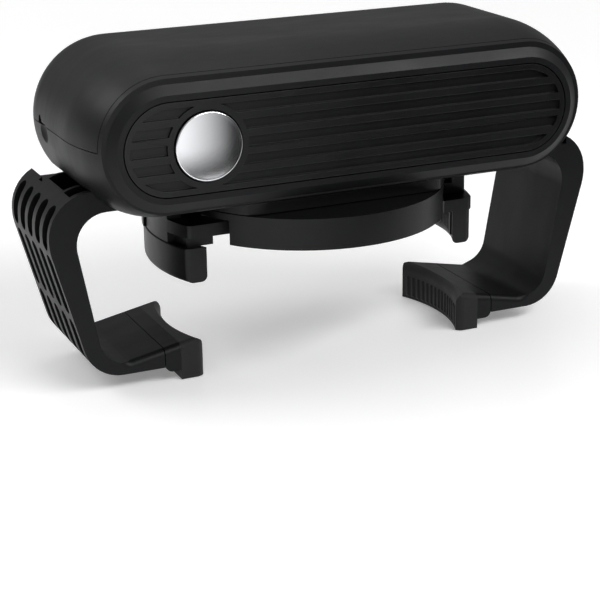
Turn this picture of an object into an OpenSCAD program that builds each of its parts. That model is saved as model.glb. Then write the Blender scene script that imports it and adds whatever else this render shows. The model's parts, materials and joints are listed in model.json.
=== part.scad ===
// Electric jar opener: a long rounded body that sits on the jar, two arms that
// grip the jar, and a turning head whose two jaws grip the lid.
// X runs along the body, Y from front to back, Z up. The origin is the middle
// of the plane on which the grip pads' lower faces rest.

/* [Body] */
// Length of the body over its round ends
body_len = 176; // [170:1:190]
// Depth of the body from the front face to the back
body_depth = 78; // [76:1:86]
// Height of the body
body_h = 51.4; // [50:0.2:58]
// Height of the body's underside above the pads' lower faces
body_floor = 56.3; // [54:0.1:60]
// Wall of the housing and the cover
wall = 2.2; // [1.8:0.1:2.6]
// Radius of the slow curve that runs to the front
front_curve = 59; // [50:1:80]
// Distance from the middle at which the front curve starts
front_start = 14; // [8:1:18]
// Radius of the round back edge
back_round = 22; // [16:1:24]
// Depth of the front band, from the cover's seam to the chamfer
band_d = 1.6; // [1.2:0.1:2.4]
// Gap along the cover's seam
seam_gap = 0.25; // [0.2:0.05:0.4]
// Distance of the thumb notch from the middle, towards the back
notch_y = 10.5; // [6:0.5:12]

/* [Front panel] */
// Height of the panel's middle above the pads' lower faces
panel_z = 81.4; // [80:0.1:83]
// Half of the panel's straight length
panel_half = 62.2; // [58:0.1:64]
// Radius of the panel's round ends
panel_r = 14.6; // [13:0.1:16]
// Gap round the panel
panel_gap = 0.35; // [0.2:0.05:0.5]
// Thickness of the panel
panel_t = 3; // [2.4:0.2:3.6]
// Flat frame between the panel and the chamfer
frame_w = 1.9; // [1.5:0.1:2.5]
// Width of the chamfer round the frame
chamfer_w = 3; // [2:0.1:3.4]
// Depth of the chamfer round the frame
chamfer_d = 2; // [1.5:0.1:2.4]
// Number of pocket rows
pocket_rows = 5; // [3:1:6]
// Distance from one pocket row to the next
pocket_pitch = 5.57; // [4.4:0.01:6]
// Height of a pocket
pocket_h = 3.2; // [2.4:0.1:3.6]
// Depth of a pocket
pocket_d = 1.2; // [0.6:0.1:1.6]
// Rim left between the pockets and the panel's edge
pocket_rim = 1.9; // [1.5:0.1:2.6]

/* [Button] */
// Distance from the middle of the body to the button
button_x = 49.8; // [40:0.1:54]
// Radius of the button
button_r = 10.9; // [9:0.1:12]
// Gap round the button
button_gap = 0.4; // [0.3:0.05:0.6]
// How far the button stands out of the panel
button_out = 0.9; // [0.6:0.1:1.6]
// Height of the crown of the button's face
button_crown = 0.7; // [0.4:0.1:1]
// Travel of the button
button_travel = 1; // [0.8:0.1:1.2]

/* [Arms] */
// Width of an arm from front to back
arm_w = 43.2; // [38:0.2:46]
// Distance from the middle to the outer side of an arm at its widest
arm_reach = 96.8; // [94:0.1:102]
// Height below which the outer side slopes inwards
arm_wide_z = 49.5; // [46:0.5:51]
// Distance from the middle at which that slope meets the floor of the arm
arm_foot_x = 84.8; // [83:0.1:89]
// Upper surface of the arm where it enters the body
arm_top = 66.8; // [65:0.1:68]
// Under-surface of the arm where it enters the body
arm_ceiling = 59.8; // [59:0.1:61]
// Underside of the arm's foot
arm_floor = 5; // [4:0.1:6]
// Inner side of the arm at its widest
arm_inner_top = 88; // [86:0.1:91]
// Height below which the inner side slopes inwards
arm_inner_z = 48.5; // [46:0.5:50]
// Inner side of the arm at its foot
arm_inner_foot = 80.6; // [79:0.1:83]
// Thickness of the arm's foot at its outer end
foot_t = 2.3; // [2:0.1:4]
// Thickness of the arm's foot at the shoe
toe_t = 6.2; // [5:0.1:7]
// Radius along the upper edges of foot, shoe and pad
toe_round = 2.4; // [1.5:0.1:3]
// Distance from the middle to the seam between foot and shoe
shoe_seam = 60.8; // [58:0.1:63]
// Inner end of the arm's top plate
plate_end = 58; // [56:0.5:62]
// Inner skin left behind the slots
arm_skin = 2; // [1.6:0.1:2.6]
// Width of a slot in the outer wall
slot_w = 5.2; // [4:0.1:6]
// Distance from one slot to the next
slot_pitch = 8.4; // [7:0.1:8.6]
// Farthest that each arm opens from the place shown
arm_out = 8; // [4:1:8]
// Farthest that each arm closes from the place shown
arm_in = 22; // [10:1:22]

/* [Grip pads] */
// Radius of the jar that the pads close on
jar_r = 51.4; // [48:0.2:54]
// Back face of the pad, from the middle
pad_back = 55.2; // [54.5:0.1:57]
// Inner face of the pad's two ends, from the middle
pad_in = 46.6; // [45:0.1:48]
// Radius of the pad's upright edges
pad_edge = 3.4; // [2:0.1:4]
// Radius along the upper edge of the hollowed face
pad_roll = 3.2; // [2:0.1:4]

/* [Head] */
// Radius of the turning drum
drum_r = 46.4; // [44:0.2:48]
// Lower face of the drum
drum_low = 44.7; // [44:0.1:45.5]
// Upper face of the drum
drum_high = 55; // [54.5:0.1:55.5]
// Distance from the middle to the collar's flat front
collar_flat = 32; // [30:0.5:34]
// Gap between the drum and the collar
collar_gap = 0.35; // [0.3:0.05:0.5]
// Radius of the drum's hub
hub_r = 16; // [14:0.2:18]
// Radial clearance of the hub in the collar
hub_clear = 0.08; // [0.05:0.01:0.1]
// Half of the width of the drum's side window
window_half = 25.6; // [23:0.1:27]
// Distance from the middle to the inner end of the drum's side window
window_x = 22; // [20:0.5:23]

/* [Lid jaws] */
// Radius of the lid that the jaws close on
lid_r = 49; // [46:0.2:50]
// Thickness of the rubber strip
strip_t = 2.2; // [1.6:0.1:2.6]
// Thickness of the claw behind the strip
claw_t = 4.6; // [4:0.1:5.4]
// Half of the width of a claw
claw_half = 21; // [18:0.5:23]
// Lower edge of the claw
claw_low = 32.1; // [31:0.1:33]
// Upper edge of the claw
claw_high = 43.6; // [42.6:0.1:44]
// Half of the width of the claw's post
post_half = 10.5; // [8:0.5:12]
// Radius of the claw's upright corners
claw_corner = 2.6; // [2:0.1:3]
// Radius of the claw's lower edges
claw_round = 1.9; // [1:0.1:2.2]
// Farthest that each jaw opens from the place shown
jaw_out = 3; // [1:1:4]
// Farthest that each jaw closes from the place shown
jaw_in = 18; // [10:1:18]

/* [Gears] */
// Module of the arm pinion and its racks
arm_mod = 1; // [0.9:0.05:1.1]
// Teeth of the arm pinion
arm_teeth = 16; // [16:2:18]
// Module of the lid pinion and its racks
lid_mod = 1; // [0.9:0.05:1.1]
// Teeth of the lid pinion
lid_teeth = 14; // [14:2:16]
// Module of the planet stage and of the gear that drives it
sun_mod = 0.8; // [0.7:0.05:0.85]
// Teeth of the sun gear
sun_teeth = 15; // [15:3:15]
// Teeth of each planet gear
planet_teeth = 15; // [15:3:15]
// Teeth of the wheel that drives the sun gear
sun_wheel_teeth = 44; // [40:2:46]
// Module of the first two reductions
fine_mod = 0.6; // [0.5:0.05:0.65]
// Teeth of each small pinion
small_teeth = 12; // [11:1:12]
// Teeth of the second wheel
second_teeth = 42; // [40:2:42]
// Teeth of the first wheel
first_teeth = 48; // [46:2:50]
// Backlash between teeth
backlash = 0.16; // [0.1:0.02:0.2]

/* [Hidden] */
$fn = 96;
pressure = 25;       // pressure angle of every tooth
addendum = 0.9;      // tip height of a tooth, in modules
dedendum = 1.12;     // root depth of a tooth, in modules
e = 0.02;            // overlap of a cut past the face it opens
slide_gap = 0.3;     // clearance of a sliding plate in its channel
pin_r = 1;           // steel axles and motor shaft
pin_clear = 0.05;    // radial clearance of a wheel on its axle
shaft_r = 3.5;       // head shaft
shaft_clear = 0.06;  // radial clearance round the head shaft

body_r = body_h / 2;
body_z = body_floor + body_r;
half_str = body_len / 2 - body_r;
back_y = body_depth / 2;
front_y = -body_depth / 2;
seam_y = front_y + chamfer_d + band_d;     // cover's seam behind the front band
back_start = back_y - back_round;
floor_in = body_floor + wall;              // inner floor of the housing

channel_half = arm_w / 2 + slide_gap;
channel_low = arm_ceiling - slide_gap;
channel_high = arm_top + slide_gap;
floor_end = 57.5;                          // the floor under the channel ends here
rail_w = 2.3;

// Button: planes along Y, from the cap to the board
button_back = front_y + panel_t + 1.4;
disc_back = button_back + 2;
stem_end = disc_back + 3.1;
switch_y = stem_end + button_travel + 0.9;
board_y = switch_y + 3.5;
board_t = 1.6;
spring_coils = 6;
spring_pitch = 1.3;
spring_r = 5.2;
spring_wire = 0.35;

// Arm mechanism
arm_pitch_r = arm_mod * arm_teeth / 2;
rack_low = 61;
rack_high = 65.6;
rack_bar = 4.2;                            // solid back of a rack, behind the roots
rack_end = 13;                             // rack past the middle
tongue = 26;                               // arm's tongue behind the rack
shoe_low = 3.2;
toe_slope = atan((toe_t - foot_t) / (arm_inner_foot - shoe_seam));
foot_flat = 11;                            // straight length of the foot's upper edge
arm_corner = arm_top - arm_wide_z - 3.1;   // radius of the arm's outer upper corner
pinion_low = rack_low - 0.3;
ring_web_low = 66.6;
ring_web_high = 68;
ring_top = 73.6;
ring_teeth = sun_teeth + 2 * planet_teeth;
ring_clear = 0.2;                          // planets run this clear of the ring's teeth
planet_orbit = sun_mod * (sun_teeth + planet_teeth) / 2;
planet_tip = sun_mod * (planet_teeth / 2 + addendum);
ring_tip_r = planet_orbit + planet_tip + ring_clear;
ring_out_r = ring_tip_r + 3.2;

carrier_low = ring_web_high + 0.2;
carrier_high = carrier_low + 1.4;
planet_low = carrier_high + 0.15;
planet_high = ring_top - 0.1;
sun_wheel_low = ring_top + 3.6;
sun_wheel_high = sun_wheel_low + 3.4;

// Gear train, from the middle to the motor at the right
second_dist = sun_mod * (sun_wheel_teeth + small_teeth) / 2;
first_dist = fine_mod * (second_teeth + small_teeth) / 2;
motor_dist = fine_mod * (first_teeth + small_teeth) / 2;
second_turn = 8;                           // directions of the centre lines, in degrees
first_turn = -10;
motor_turn = 0;
second_at = second_dist * [cos(second_turn), sin(second_turn)];
first_at = second_at + first_dist * [cos(first_turn), sin(first_turn)];
motor_at = first_at + motor_dist * [cos(motor_turn), sin(motor_turn)];
second_wheel_low = ring_top + 0.8;
second_wheel_high = second_wheel_low + 2.4;
first_wheel_low = 68.4;
first_wheel_high = 71.2;
motor_low = 73.4;
motor_r = 12.2;
motor_h = 26.5;
motor_posts = [[8, -7.5], [8, 7.5], [-2, -10.5], [-2, 10.5]];
gear_plate_low = 66.9;
gear_plate_t = 1.4;
top_plate_low = sun_wheel_high + 0.5;
top_plate_t = 1.4;

// Head
collar_low = drum_high + collar_gap;
collar_high = body_z - 12;
drum_floor = drum_low + 1.8;               // top of the drum's bottom plate
drum_roof = drum_high - 2.2;               // underside of the drum's top
plate_r = drum_r - 2.7;                    // drum's bottom plate
slot_x = 27;                               // inner end of the slots for the posts
hub_top = floor_in + 0.2;
hub_ring_t = 0.9;
lid_pitch_r = lid_mod * lid_teeth / 2;
jaw_rack_low = drum_floor + 0.4;
jaw_rack_high = drum_roof - 0.4;
jaw_bar = 3.6;
jaw_rack_end = 5.4;
strip_out = 0.6;                           // the strip stands out of the claw by this
claw_in_r = lid_r + strip_t;
claw_out_r = claw_in_r + claw_t;
flange_end = 41.7;                         // inner end of the claw's flange
flange_back = 2.4;                         // the flange stands back behind the claw's outline
plate_x = 42.5;                            // inner end of the plate in the other rack's lane
rail_x = 36.5;                             // inner end of the rest of the plate
rack_room = 0.7;                           // room beside the other jaw's rack
step_top = 47.7;                           // upper face of the step at the claw's back end
step_out = 0.5;                            // the step stands out of the claw's outline
plate_low = 47.2;
plate_high = 51.4;
post_high = 54.4;
post_back = 0.4;                           // the post stands back behind the claw
post_wide = post_half + 2.5;               // the post's back side, from the middle

// Batteries
cell_r = 7.1;
cell_len = 50;
cell_pitch = 14.8;
cell_z = 95.5;
cell_x = -44;                              // middle of the cells
tray_end = 4;                              // tray past the cells at each end
tray_t = 1.6;
contact_t = 0.5;
tray_z = cell_z - cell_r - 1.2;

// Screws: shank, head, and where they stand
screw_r = 1.3;
head_r = 2.4;
head_h = 0.9;
post_r = 3.2;
post_y = 27;
plate_posts = [-30, 30, 66];               // under the gear plate
collar_posts = [-30, 30];                  // the collar is screwed to the first two
tray_posts = [-66, -38.5];
screw_sink = 1.1;                          // depth of the hole that a head sits in
drum_screw_top = 50;
drum_screw_at = [[-14, -34], [14, -34], [-14, 34], [14, 34]];
screw_meet = 62.5;                         // screws from above and below stop here

// ---- Outlines -------------------------------------------------------------

function unit(v) = v / norm(v);

// Points of the rounded corner at b, between its neighbours a and c
function corner(a, b, c, r, n) =
    let (u = unit(a - b), v = unit(c - b), half = acos(u * v) / 2,
         mid = b + unit(u + v) * r / sin(half),
         p = b + u * r / tan(half) - mid, q = b + v * r / tan(half) - mid,
         a0 = atan2(p[1], p[0]), raw = atan2(q[1], q[0]) - a0,
         turn = raw > 180 ? raw - 360 : raw < -180 ? raw + 360 : raw)
    [for (i = [0:n]) mid + r * [cos(a0 + turn * i / n), sin(a0 + turn * i / n)]];

// Outline through points [x, y, corner radius]
function rounded(path, n = 10) =
    [for (i = [0:len(path) - 1])
        let (a = path[(i + len(path) - 1) % len(path)], b = path[i], c = path[(i + 1) % len(path)])
        each (b[2] > 0 ? corner([a[0], a[1]], [b[0], b[1]], [c[0], c[1]], b[2], n) : [[b[0], b[1]]])];

module stadium(half, r) {
    translate([-half, -r]) square([2 * half, 2 * r]);
    for (s = [-1, 1]) translate([s * half, 0]) circle(r);
}

// A stadium plate standing on edge, from y1 to y2, centred at height z
module stadium_plate(half, r, z, y1, y2) {
    translate([0, y2, z]) rotate([90, 0, 0]) linear_extrude(y2 - y1) stadium(half, r);
}

// ---- Gears ----------------------------------------------------------------

function inv_deg(a) = tan(a) * 180 / PI - a;

// Half of a tooth's angle at radius rad
function tooth_half(m, z, rad) =
    let (r = m * z / 2, rb = r * cos(pressure),
         at = rad <= rb ? 0 : acos(rb / rad))
    90 / z - backlash / 4 / r * 180 / PI + inv_deg(pressure) - inv_deg(at);

module gear_outline(m, z, turn = 0) {
    r = m * z / 2;
    rb = r * cos(pressure);
    low = r - dedendum * m;
    tip = r + addendum * m;
    step = [low, max(rb, low + e), r, (r + tip) / 2, tip];
    polygon([for (i = [0:z - 1]) let (mid = turn + 360 * i / z)
        each concat(
            [for (rad = step) let (a = mid - tooth_half(m, z, rad)) rad * [cos(a), sin(a)]],
            [for (k = [4:-1:0]) let (a = mid + tooth_half(m, z, step[k])) step[k] * [cos(a), sin(a)]])]);
}

module gear(m, z, low, high, turn = 0) {
    translate([0, 0, low]) linear_extrude(high - low) gear_outline(m, z, turn);
}

// Rack along X whose teeth point to -Y, with its pitch line on y = 0
module rack_outline(m, x1, x2, back) {
    pitch = PI * m;
    tip = pitch / 4 - backlash / 4 - addendum * m * tan(pressure);
    root = pitch / 4 - backlash / 4 + dedendum * m * tan(pressure);
    first = ceil(x1 / pitch + 0.5) - 0.5;
    last = floor(x2 / pitch + 0.5) - 0.5;
    polygon(concat(
        [[x2, dedendum * m], [x2, dedendum * m + back], [x1, dedendum * m + back], [x1, dedendum * m]],
        [for (i = [first:last]) let (x = i * pitch)
            if (x - root > x1 && x + root < x2)
            each [[x - root, dedendum * m], [x - tip, -addendum * m],
                  [x + tip, -addendum * m], [x + root, dedendum * m]]]));
}

// ---- Body -----------------------------------------------------------------

// Half section of the body: distance from the long axis along X, depth along Y
module body_half(inset, front) {
    r = body_r - inset;
    translate([0, -front_start]) square([r, front_start + back_start]);
    intersection() {
        translate([body_r - front_curve, -front_start]) circle(front_curve - inset, $fn = 360);
        translate([0, front]) square([r, -front_start - front]);
    }
    translate([body_r - back_round, back_start]) intersection() {
        circle(back_round - inset);
        square(back_round);
    }
    translate([0, back_start]) square([body_r - back_round, back_round - inset]);
}

// The body's solid, all round smaller by inset, cut off at the depth front
module body_solid(inset = 0, front = front_y) {
    translate([0, 0, body_z]) {
        for (s = [0, 1]) mirror([s, 0, 0]) translate([half_str, 0, 0])
            rotate([90, 0, 0]) rotate([0, 0, -90]) mirror([0, 0, 1])
            rotate_extrude(angle = 180) body_half(inset, front);
        for (s = [0, 1]) mirror([0, 0, s]) rotate([90, 0, 90]) translate([0, 0, -half_str])
            linear_extrude(2 * half_str) mirror([1, -1, 0]) body_half(inset, front);
    }
}

// The frame in front of the seam: chamfer, then the flat face round the panel
module front_frame() {
    frame_r = panel_r + panel_gap + frame_w;
    translate([0, 0, panel_z]) rotate([90, 0, 0]) {
        translate([0, 0, -front_y - chamfer_d]) {
            linear_extrude(chamfer_d) stadium(panel_half, frame_r);
            for (s = [-1, 1]) translate([s * panel_half, 0, 0])
                cylinder(chamfer_d, frame_r + chamfer_w, frame_r);
            rotate([90, 0, 90]) translate([0, 0, -panel_half]) linear_extrude(2 * panel_half)
                polygon([[-frame_r - chamfer_w, 0], [frame_r + chamfer_w, 0],
                         [frame_r, chamfer_d], [-frame_r, chamfer_d]]);
        }
    }
}

// Everything above the middle of the body and behind the front band
module cover_zone(gap_y, gap_z) {
    big = body_len;
    translate([-big, seam_y + gap_y, body_z + gap_z]) cube([2 * big, 2 * big, big]);
}

// Dimple below the seam at the left end, for the thumb
module thumb_dimple() {
    translate([-body_len / 2 - 4.6, notch_y - 2.5, body_z - 2.6]) sphere(6);
}

// Notch above it in the edge of the cover
module thumb_notch() {
    translate([-body_len / 2 - 1, notch_y, body_z]) rotate([90, 0, 90]) linear_extrude(2.6)
        polygon(rounded([[-3.4, -2, 0], [3.4, -2, 0], [2.8, 2.8, 0.8], [1.4, 2.8, 0.8]], 4));
}

module main_housing() color("#26282b") {
    difference() {
        union() {
            difference() {
                union() {
                    body_solid(0, front_y + chamfer_d);
                    front_frame();
                }
                body_solid(wall, seam_y);
                cover_zone(0, 0);
                // seat and opening of the front panel
                stadium_plate(panel_half, panel_r + panel_gap, panel_z, front_y - 1, front_y + panel_t);
                stadium_plate(panel_half - 2, panel_r - 2.4, panel_z, front_y, seam_y + 1);
                // channel for the arm plates, open downwards past the floor's ends
                translate([-body_len, -channel_half, channel_low])
                    cube([2 * body_len, 2 * channel_half, channel_high - channel_low]);
                for (s = [0, 180]) rotate(s) translate([floor_end, -channel_half, body_floor - 1])
                    cube([body_len, 2 * channel_half, wall + 3]);
            }
            intersection() {
                body_solid(wall / 2, seam_y - 1);
                housing_inside();
            }
        }
        translate([0, 0, body_floor - 1]) cylinder(wall + 2, r = hub_r + hub_clear);
        for (x = collar_posts, y = [-post_y, post_y]) translate([x, y, body_floor])
            cylinder(screw_meet - body_floor - 0.1, r = screw_r);
        for (x = plate_posts, y = [-post_y, post_y]) translate([x, y, screw_meet + 0.1])
            cylinder(gear_plate_low - screw_meet, r = screw_r);
        thumb_dimple();
    }
}

// Posts for the plates and the tray, side walls and rails of the channel
module housing_inside() {
    for (y = [-post_y, post_y]) {
        for (x = plate_posts) translate([x, y, body_floor])
            cylinder(gear_plate_low - body_floor, r = post_r);
        for (x = tray_posts) translate([x, y, body_floor])
            cylinder(tray_z - body_floor, r = post_r);
    }
    for (s = [0, 180]) rotate(s) {
        translate([-half_str, channel_half, body_floor])
            cube([2 * half_str, wall - 0.6, ring_web_low - 0.3 - body_floor]);
        translate([-floor_end, channel_half - rail_w, body_floor])
            cube([2 * floor_end, rail_w, channel_low - body_floor]);
    }
}

module pocket_zone(row) {
    z = (row - (pocket_rows - 1) / 2) * pocket_pitch;
    intersection() {
        stadium(panel_half, panel_r - pocket_rim);
        translate([-panel_half - panel_r, z - pocket_h / 2]) square([2 * (panel_half + panel_r), pocket_h]);
    }
}

module grille_panel() color("#202225") {
    difference() {
        stadium_plate(panel_half, panel_r, panel_z, front_y, front_y + panel_t - e);
        translate([0, front_y + pocket_d, panel_z]) rotate([90, 0, 0]) linear_extrude(pocket_d + 1)
            difference() {
                for (row = [0:pocket_rows - 1]) pocket_zone(row);
                translate([-button_x, 0]) circle(button_r + button_gap + 2);
            }
        translate([-button_x, front_y - 1, panel_z]) rotate([-90, 0, 0])
            cylinder(panel_t + 2, r = button_r + button_gap);
    }
}

// The inner half of the cover's edge rests on the housing, the outer half
// leaves the seam's groove
module top_cover() color("#2a2c2f") {
    difference() {
        union() {
            intersection() {
                body_solid(0, front_y + chamfer_d);
                cover_zone(seam_gap, seam_gap);
            }
            intersection() {
                body_solid(wall / 2, front_y + chamfer_d);
                cover_zone(0.05, 0);
            }
        }
        body_solid(wall, seam_y - 1);
        thumb_notch();
        thumb_dimple();
    }
}

// ---- Button and switch ----------------------------------------------------

module button_cap() color("#d8dadd") {
    crown_r = (button_r * button_r / button_crown + button_crown) / 2;
    translate([-button_x, 0, panel_z]) rotate([90, 0, 0]) {
        translate([0, 0, -button_back]) cylinder(button_out - front_y + button_back, r = button_r);
        translate([0, 0, button_out - front_y]) intersection() {
            translate([0, 0, button_crown - crown_r]) sphere(crown_r, $fn = 180);
            cylinder(button_crown, r = button_r);
        }
    }
}

module button_plunger() color("#3a3c3f") {
    translate([-button_x, 0, panel_z]) rotate([90, 0, 0]) {
        translate([0, 0, -disc_back]) cylinder(disc_back - button_back, r = button_r - 1.2);
        translate([0, 0, -stem_end]) cylinder(stem_end - disc_back + e, r = 1.8);
    }
}

module button_spring() color("#b9bcc0") {
    translate([-button_x, 0, panel_z]) rotate([90, 0, 0]) for (i = [0:spring_coils - 1])
        translate([0, 0, -disc_back - spring_wire - i * spring_pitch + e / 8]) rotate_extrude()
            translate([spring_r, 0]) circle(spring_wire, $fn = 16);
}

module switch_body() color("#1b1b1c") {
    translate([-button_x - 3, switch_y, panel_z - 3]) cube([6, board_y - switch_y, 6]);
    translate([-button_x, switch_y + e, panel_z]) rotate([90, 0, 0]) cylinder(0.8, r = 1.5);
}

// The board's upper edge bears against the battery tray
module switch_board() color("#2d6b3c") {
    up = tray_z - panel_z;
    translate([-button_x, board_y + board_t, panel_z]) rotate([90, 0, 0])
        linear_extrude(board_t) difference() {
            polygon(rounded([[-8, -9, 2], [8, -9, 2], [8, up, 0], [-8, up, 0]], 6));
            for (s = [-1, 1]) translate([s * 5.8, -6.6]) circle(1.1);
        }
}

// ---- Batteries ------------------------------------------------------------

function cell_y(i) = (i - 1.5) * cell_pitch;

module battery_tray() color("#303236") {
    x1 = cell_x - cell_len / 2 - tray_end;
    x2 = cell_x + cell_len / 2 + tray_end;
    half_y = 2 * cell_pitch + 1;
    difference() {
        translate([x1, -half_y, tray_z]) cube([x2 - x1, 2 * half_y, cell_r + 0.5]);
        for (i = [0:3]) translate([x1 + tray_t, cell_y(i), cell_z + 0.15]) rotate([0, 90, 0])
            cylinder(x2 - x1 - 2 * tray_t, r = cell_r + 0.15);
    }
}

module battery_cells() color("#4b6a86") {
    for (i = [0:3]) translate([cell_x, cell_y(i), cell_z]) rotate([0, i % 2 == 0 ? 90 : -90, 0]) {
        translate([0, 0, -cell_len / 2]) cylinder(cell_len - 1, r = cell_r);
        translate([0, 0, cell_len / 2 - 1]) cylinder(1, r = 2.7);
    }
}

module battery_contacts() color("#c9ccd0") {
    for (i = [0:3], x = [-cell_len / 2 - contact_t, cell_len / 2])
        translate([cell_x + x, cell_y(i) - 4.5, cell_z - 4.5]) cube([contact_t, 9, 9]);
}

// ---- Motor and gear train -------------------------------------------------

module at(p) translate([p[0], p[1], 0]) children();

module motor_can() color("#a9adb2") {
    at(motor_at) {
        difference() {
            union() {
                translate([0, 0, motor_low]) cylinder(motor_h, r = motor_r);
                translate([0, 0, motor_low - 1.2]) cylinder(1.2 + e, r = 4);
                translate([0, 0, motor_low + motor_h - e]) cylinder(1.6, r = 4);
            }
            translate([0, 0, motor_low - 2]) cylinder(motor_h + 2, r = pin_r + pin_clear);
        }
    }
}

module motor_shaft() color("#d0d3d6") {
    at(motor_at) translate([0, 0, first_wheel_low]) cylinder(motor_low + 10 - first_wheel_low, r = pin_r);
}

module bored_gear(m, z, low, high, turn, bore) {
    difference() {
        gear(m, z, low, high, turn);
        translate([0, 0, low - 1]) cylinder(high - low + 2, r = bore);
    }
}

module motor_pinion() color("#b08d3c") {
    at(motor_at) bored_gear(fine_mod, small_teeth, first_wheel_low, first_wheel_high + 0.4,
        motor_turn + 180 + 180 / small_teeth, pin_r);
}

module first_reduction_gear() color("#e6e2d3") {
    at(first_at) difference() {
        union() {
            gear(fine_mod, first_teeth, first_wheel_low, first_wheel_high, motor_turn);
            gear(fine_mod, small_teeth, first_wheel_high - e, second_wheel_high + 0.3, first_turn + 180);
        }
        translate([0, 0, first_wheel_low - 1]) cylinder(20, r = pin_r + pin_clear);
    }
}

module second_reduction_gear() color("#e6e2d3") {
    at(second_at) difference() {
        union() {
            gear(fine_mod, second_teeth, second_wheel_low, second_wheel_high,
                first_turn + 180 / second_teeth);
            gear(sun_mod, small_teeth, second_wheel_high - e, sun_wheel_high + 0.3, second_turn + 180);
        }
        translate([0, 0, second_wheel_low - 1]) cylinder(20, r = pin_r + pin_clear);
    }
}

module sun_gear() color("#e6e2d3") {
    difference() {
        union() {
            gear(sun_mod, sun_teeth, planet_low + 0.2, sun_wheel_low + e, 90);
            gear(sun_mod, sun_wheel_teeth, sun_wheel_low, sun_wheel_high,
                second_turn + 180 / sun_wheel_teeth);
        }
        translate([0, 0, sun_wheel_high - 0.9]) difference() {
            cylinder(2, r = 13.4);
            cylinder(2, r = 5);
        }
        translate([0, 0, planet_low - 1]) cylinder(20, r = pin_r + pin_clear);
    }
}

module axle(p, low) {
    at(p) translate([0, 0, low]) cylinder(top_plate_low + top_plate_t - low, r = pin_r);
}

module gear_axles() color("#d0d3d6") {
    axle([0, 0], planet_low + 0.2);
    axle(second_at, second_wheel_low - 0.6);
    axle(first_at, gear_plate_low);
}

module gear_plate() color("#3c4045") {
    difference() {
        translate([0, 0, gear_plate_low]) linear_extrude(gear_plate_t) difference() {
            polygon(rounded([[-34, -31, 3], [70, -31, 3], [70, 31, 3], [-34, 31, 3]], 6));
            circle(ring_out_r + 0.6);
        }
        at(first_at) translate([0, 0, gear_plate_low - 1]) cylinder(4, r = pin_r);
        for (x = plate_posts, y = [-post_y, post_y]) translate([x, y, gear_plate_low - 1])
            cylinder(4, r = screw_r);
    }
    // posts that the motor stands on
    at(motor_at) for (p = motor_posts) translate([p[0], p[1], gear_plate_low + gear_plate_t - e])
        cylinder(motor_low - gear_plate_low - gear_plate_t + e, r = 2);
}

module gear_top_plate() color("#3c4045") {
    difference() {
        union() {
            translate([0, 0, top_plate_low]) linear_extrude(top_plate_t)
                polygon(rounded([[-17, -25, 3], [42, -25, 3], [42, 25, 3], [-17, 25, 3]], 6));
            for (x = [-10, 37], y = [-22.4, 22.4]) translate([x, y, gear_plate_low + gear_plate_t])
                cylinder(top_plate_low - gear_plate_low - gear_plate_t + e, r = 2);
        }
        for (p = [[0, 0], first_at, second_at]) at(p) translate([0, 0, top_plate_low - 1])
            cylinder(4, r = pin_r);
    }
}

// Cross-head screw whose shank starts at z = 0 and points up to the head
module screw(r, length, big_r, high) {
    cylinder(length, r = r);
    translate([0, 0, length - e]) difference() {
        cylinder(high, r = big_r);
        translate([0, 0, high - 0.5]) for (a = [0, 90]) rotate(a)
            translate([-big_r * 0.7, -0.3, 0]) cube([big_r * 1.4, 0.6, 2]);
    }
}

module gear_screws() color("#8f949a") {
    for (x = plate_posts, y = [-post_y, post_y]) translate([x, y, screw_meet + 0.2])
        screw(screw_r, gear_plate_low + gear_plate_t - screw_meet - 0.2 + e, head_r, 1.4);
}

// ---- Planet stage ---------------------------------------------------------

planet_angles = [90, 210, 330];

module planet_gear(k) color("#e6e2d3") {
    rotate(planet_angles[k]) translate([planet_orbit, 0, 0])
        bored_gear(sun_mod, planet_teeth, planet_low, planet_high, 180 + 180 / planet_teeth,
            pin_r + pin_clear);
}

module planet_gear_1() planet_gear(0);
module planet_gear_2() planet_gear(1);
module planet_gear_3() planet_gear(2);

module planet_pins() color("#d0d3d6") {
    for (a = planet_angles) rotate(a) translate([planet_orbit, 0, carrier_low])
        cylinder(planet_high - carrier_low, r = pin_r);
}

module planet_carrier() color("#8f949a") {
    difference() {
        translate([0, 0, carrier_low]) cylinder(carrier_high - carrier_low, r = planet_orbit + 3.4);
        translate([0, 0, carrier_low - 1]) cylinder(4, r = shaft_r + shaft_clear);
        for (a = planet_angles) rotate(a)
            translate([planet_orbit, 0, carrier_low - 1]) cylinder(4, r = pin_r);
    }
}

module ring_gear() color("#e6e2d3") {
    difference() {
        union() {
            gear(arm_mod, arm_teeth, pinion_low, ring_web_low + e, 0);
            translate([0, 0, ring_web_low]) cylinder(ring_web_high - ring_web_low, r = ring_out_r);
            translate([0, 0, ring_web_high - e]) linear_extrude(ring_top - ring_web_high) difference() {
                circle(ring_out_r);
                polygon([for (i = [0:ring_teeth - 1], k = [0:3])
                    let (a = 360 / ring_teeth * (i + [-0.3, -0.2, 0.2, 0.3][k]))
                    (k == 0 || k == 3 ? ring_tip_r : ring_tip_r + 1.6) * [cos(a), sin(a)]]);
            }
        }
        translate([0, 0, pinion_low - 1]) cylinder(ring_web_high - pinion_low + 2, r = shaft_r + shaft_clear);
    }
}

module head_shaft() color("#c4c8cc") {
    translate([0, 0, drum_floor + 0.3]) cylinder(carrier_high - drum_floor - 0.3, r = shaft_r);
}

module lid_pinion() color("#b08d3c") {
    bored_gear(lid_mod, lid_teeth, jaw_rack_low - 0.2, jaw_rack_high + 0.2, 90, shaft_r);
}

// ---- Collar and head ------------------------------------------------------

module collar_outline() {
    corner_r = 19;
    intersection() {
        circle(drum_r);
        union() {
            square([2 * drum_r, 2 * (collar_flat - corner_r)], center = true);
            square([2 * (drum_r - corner_r), 2 * collar_flat], center = true);
            for (s = [-1, 1], t = [-1, 1]) translate([s * (drum_r - corner_r), t * (collar_flat - corner_r)])
                circle(corner_r);
        }
    }
}

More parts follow.
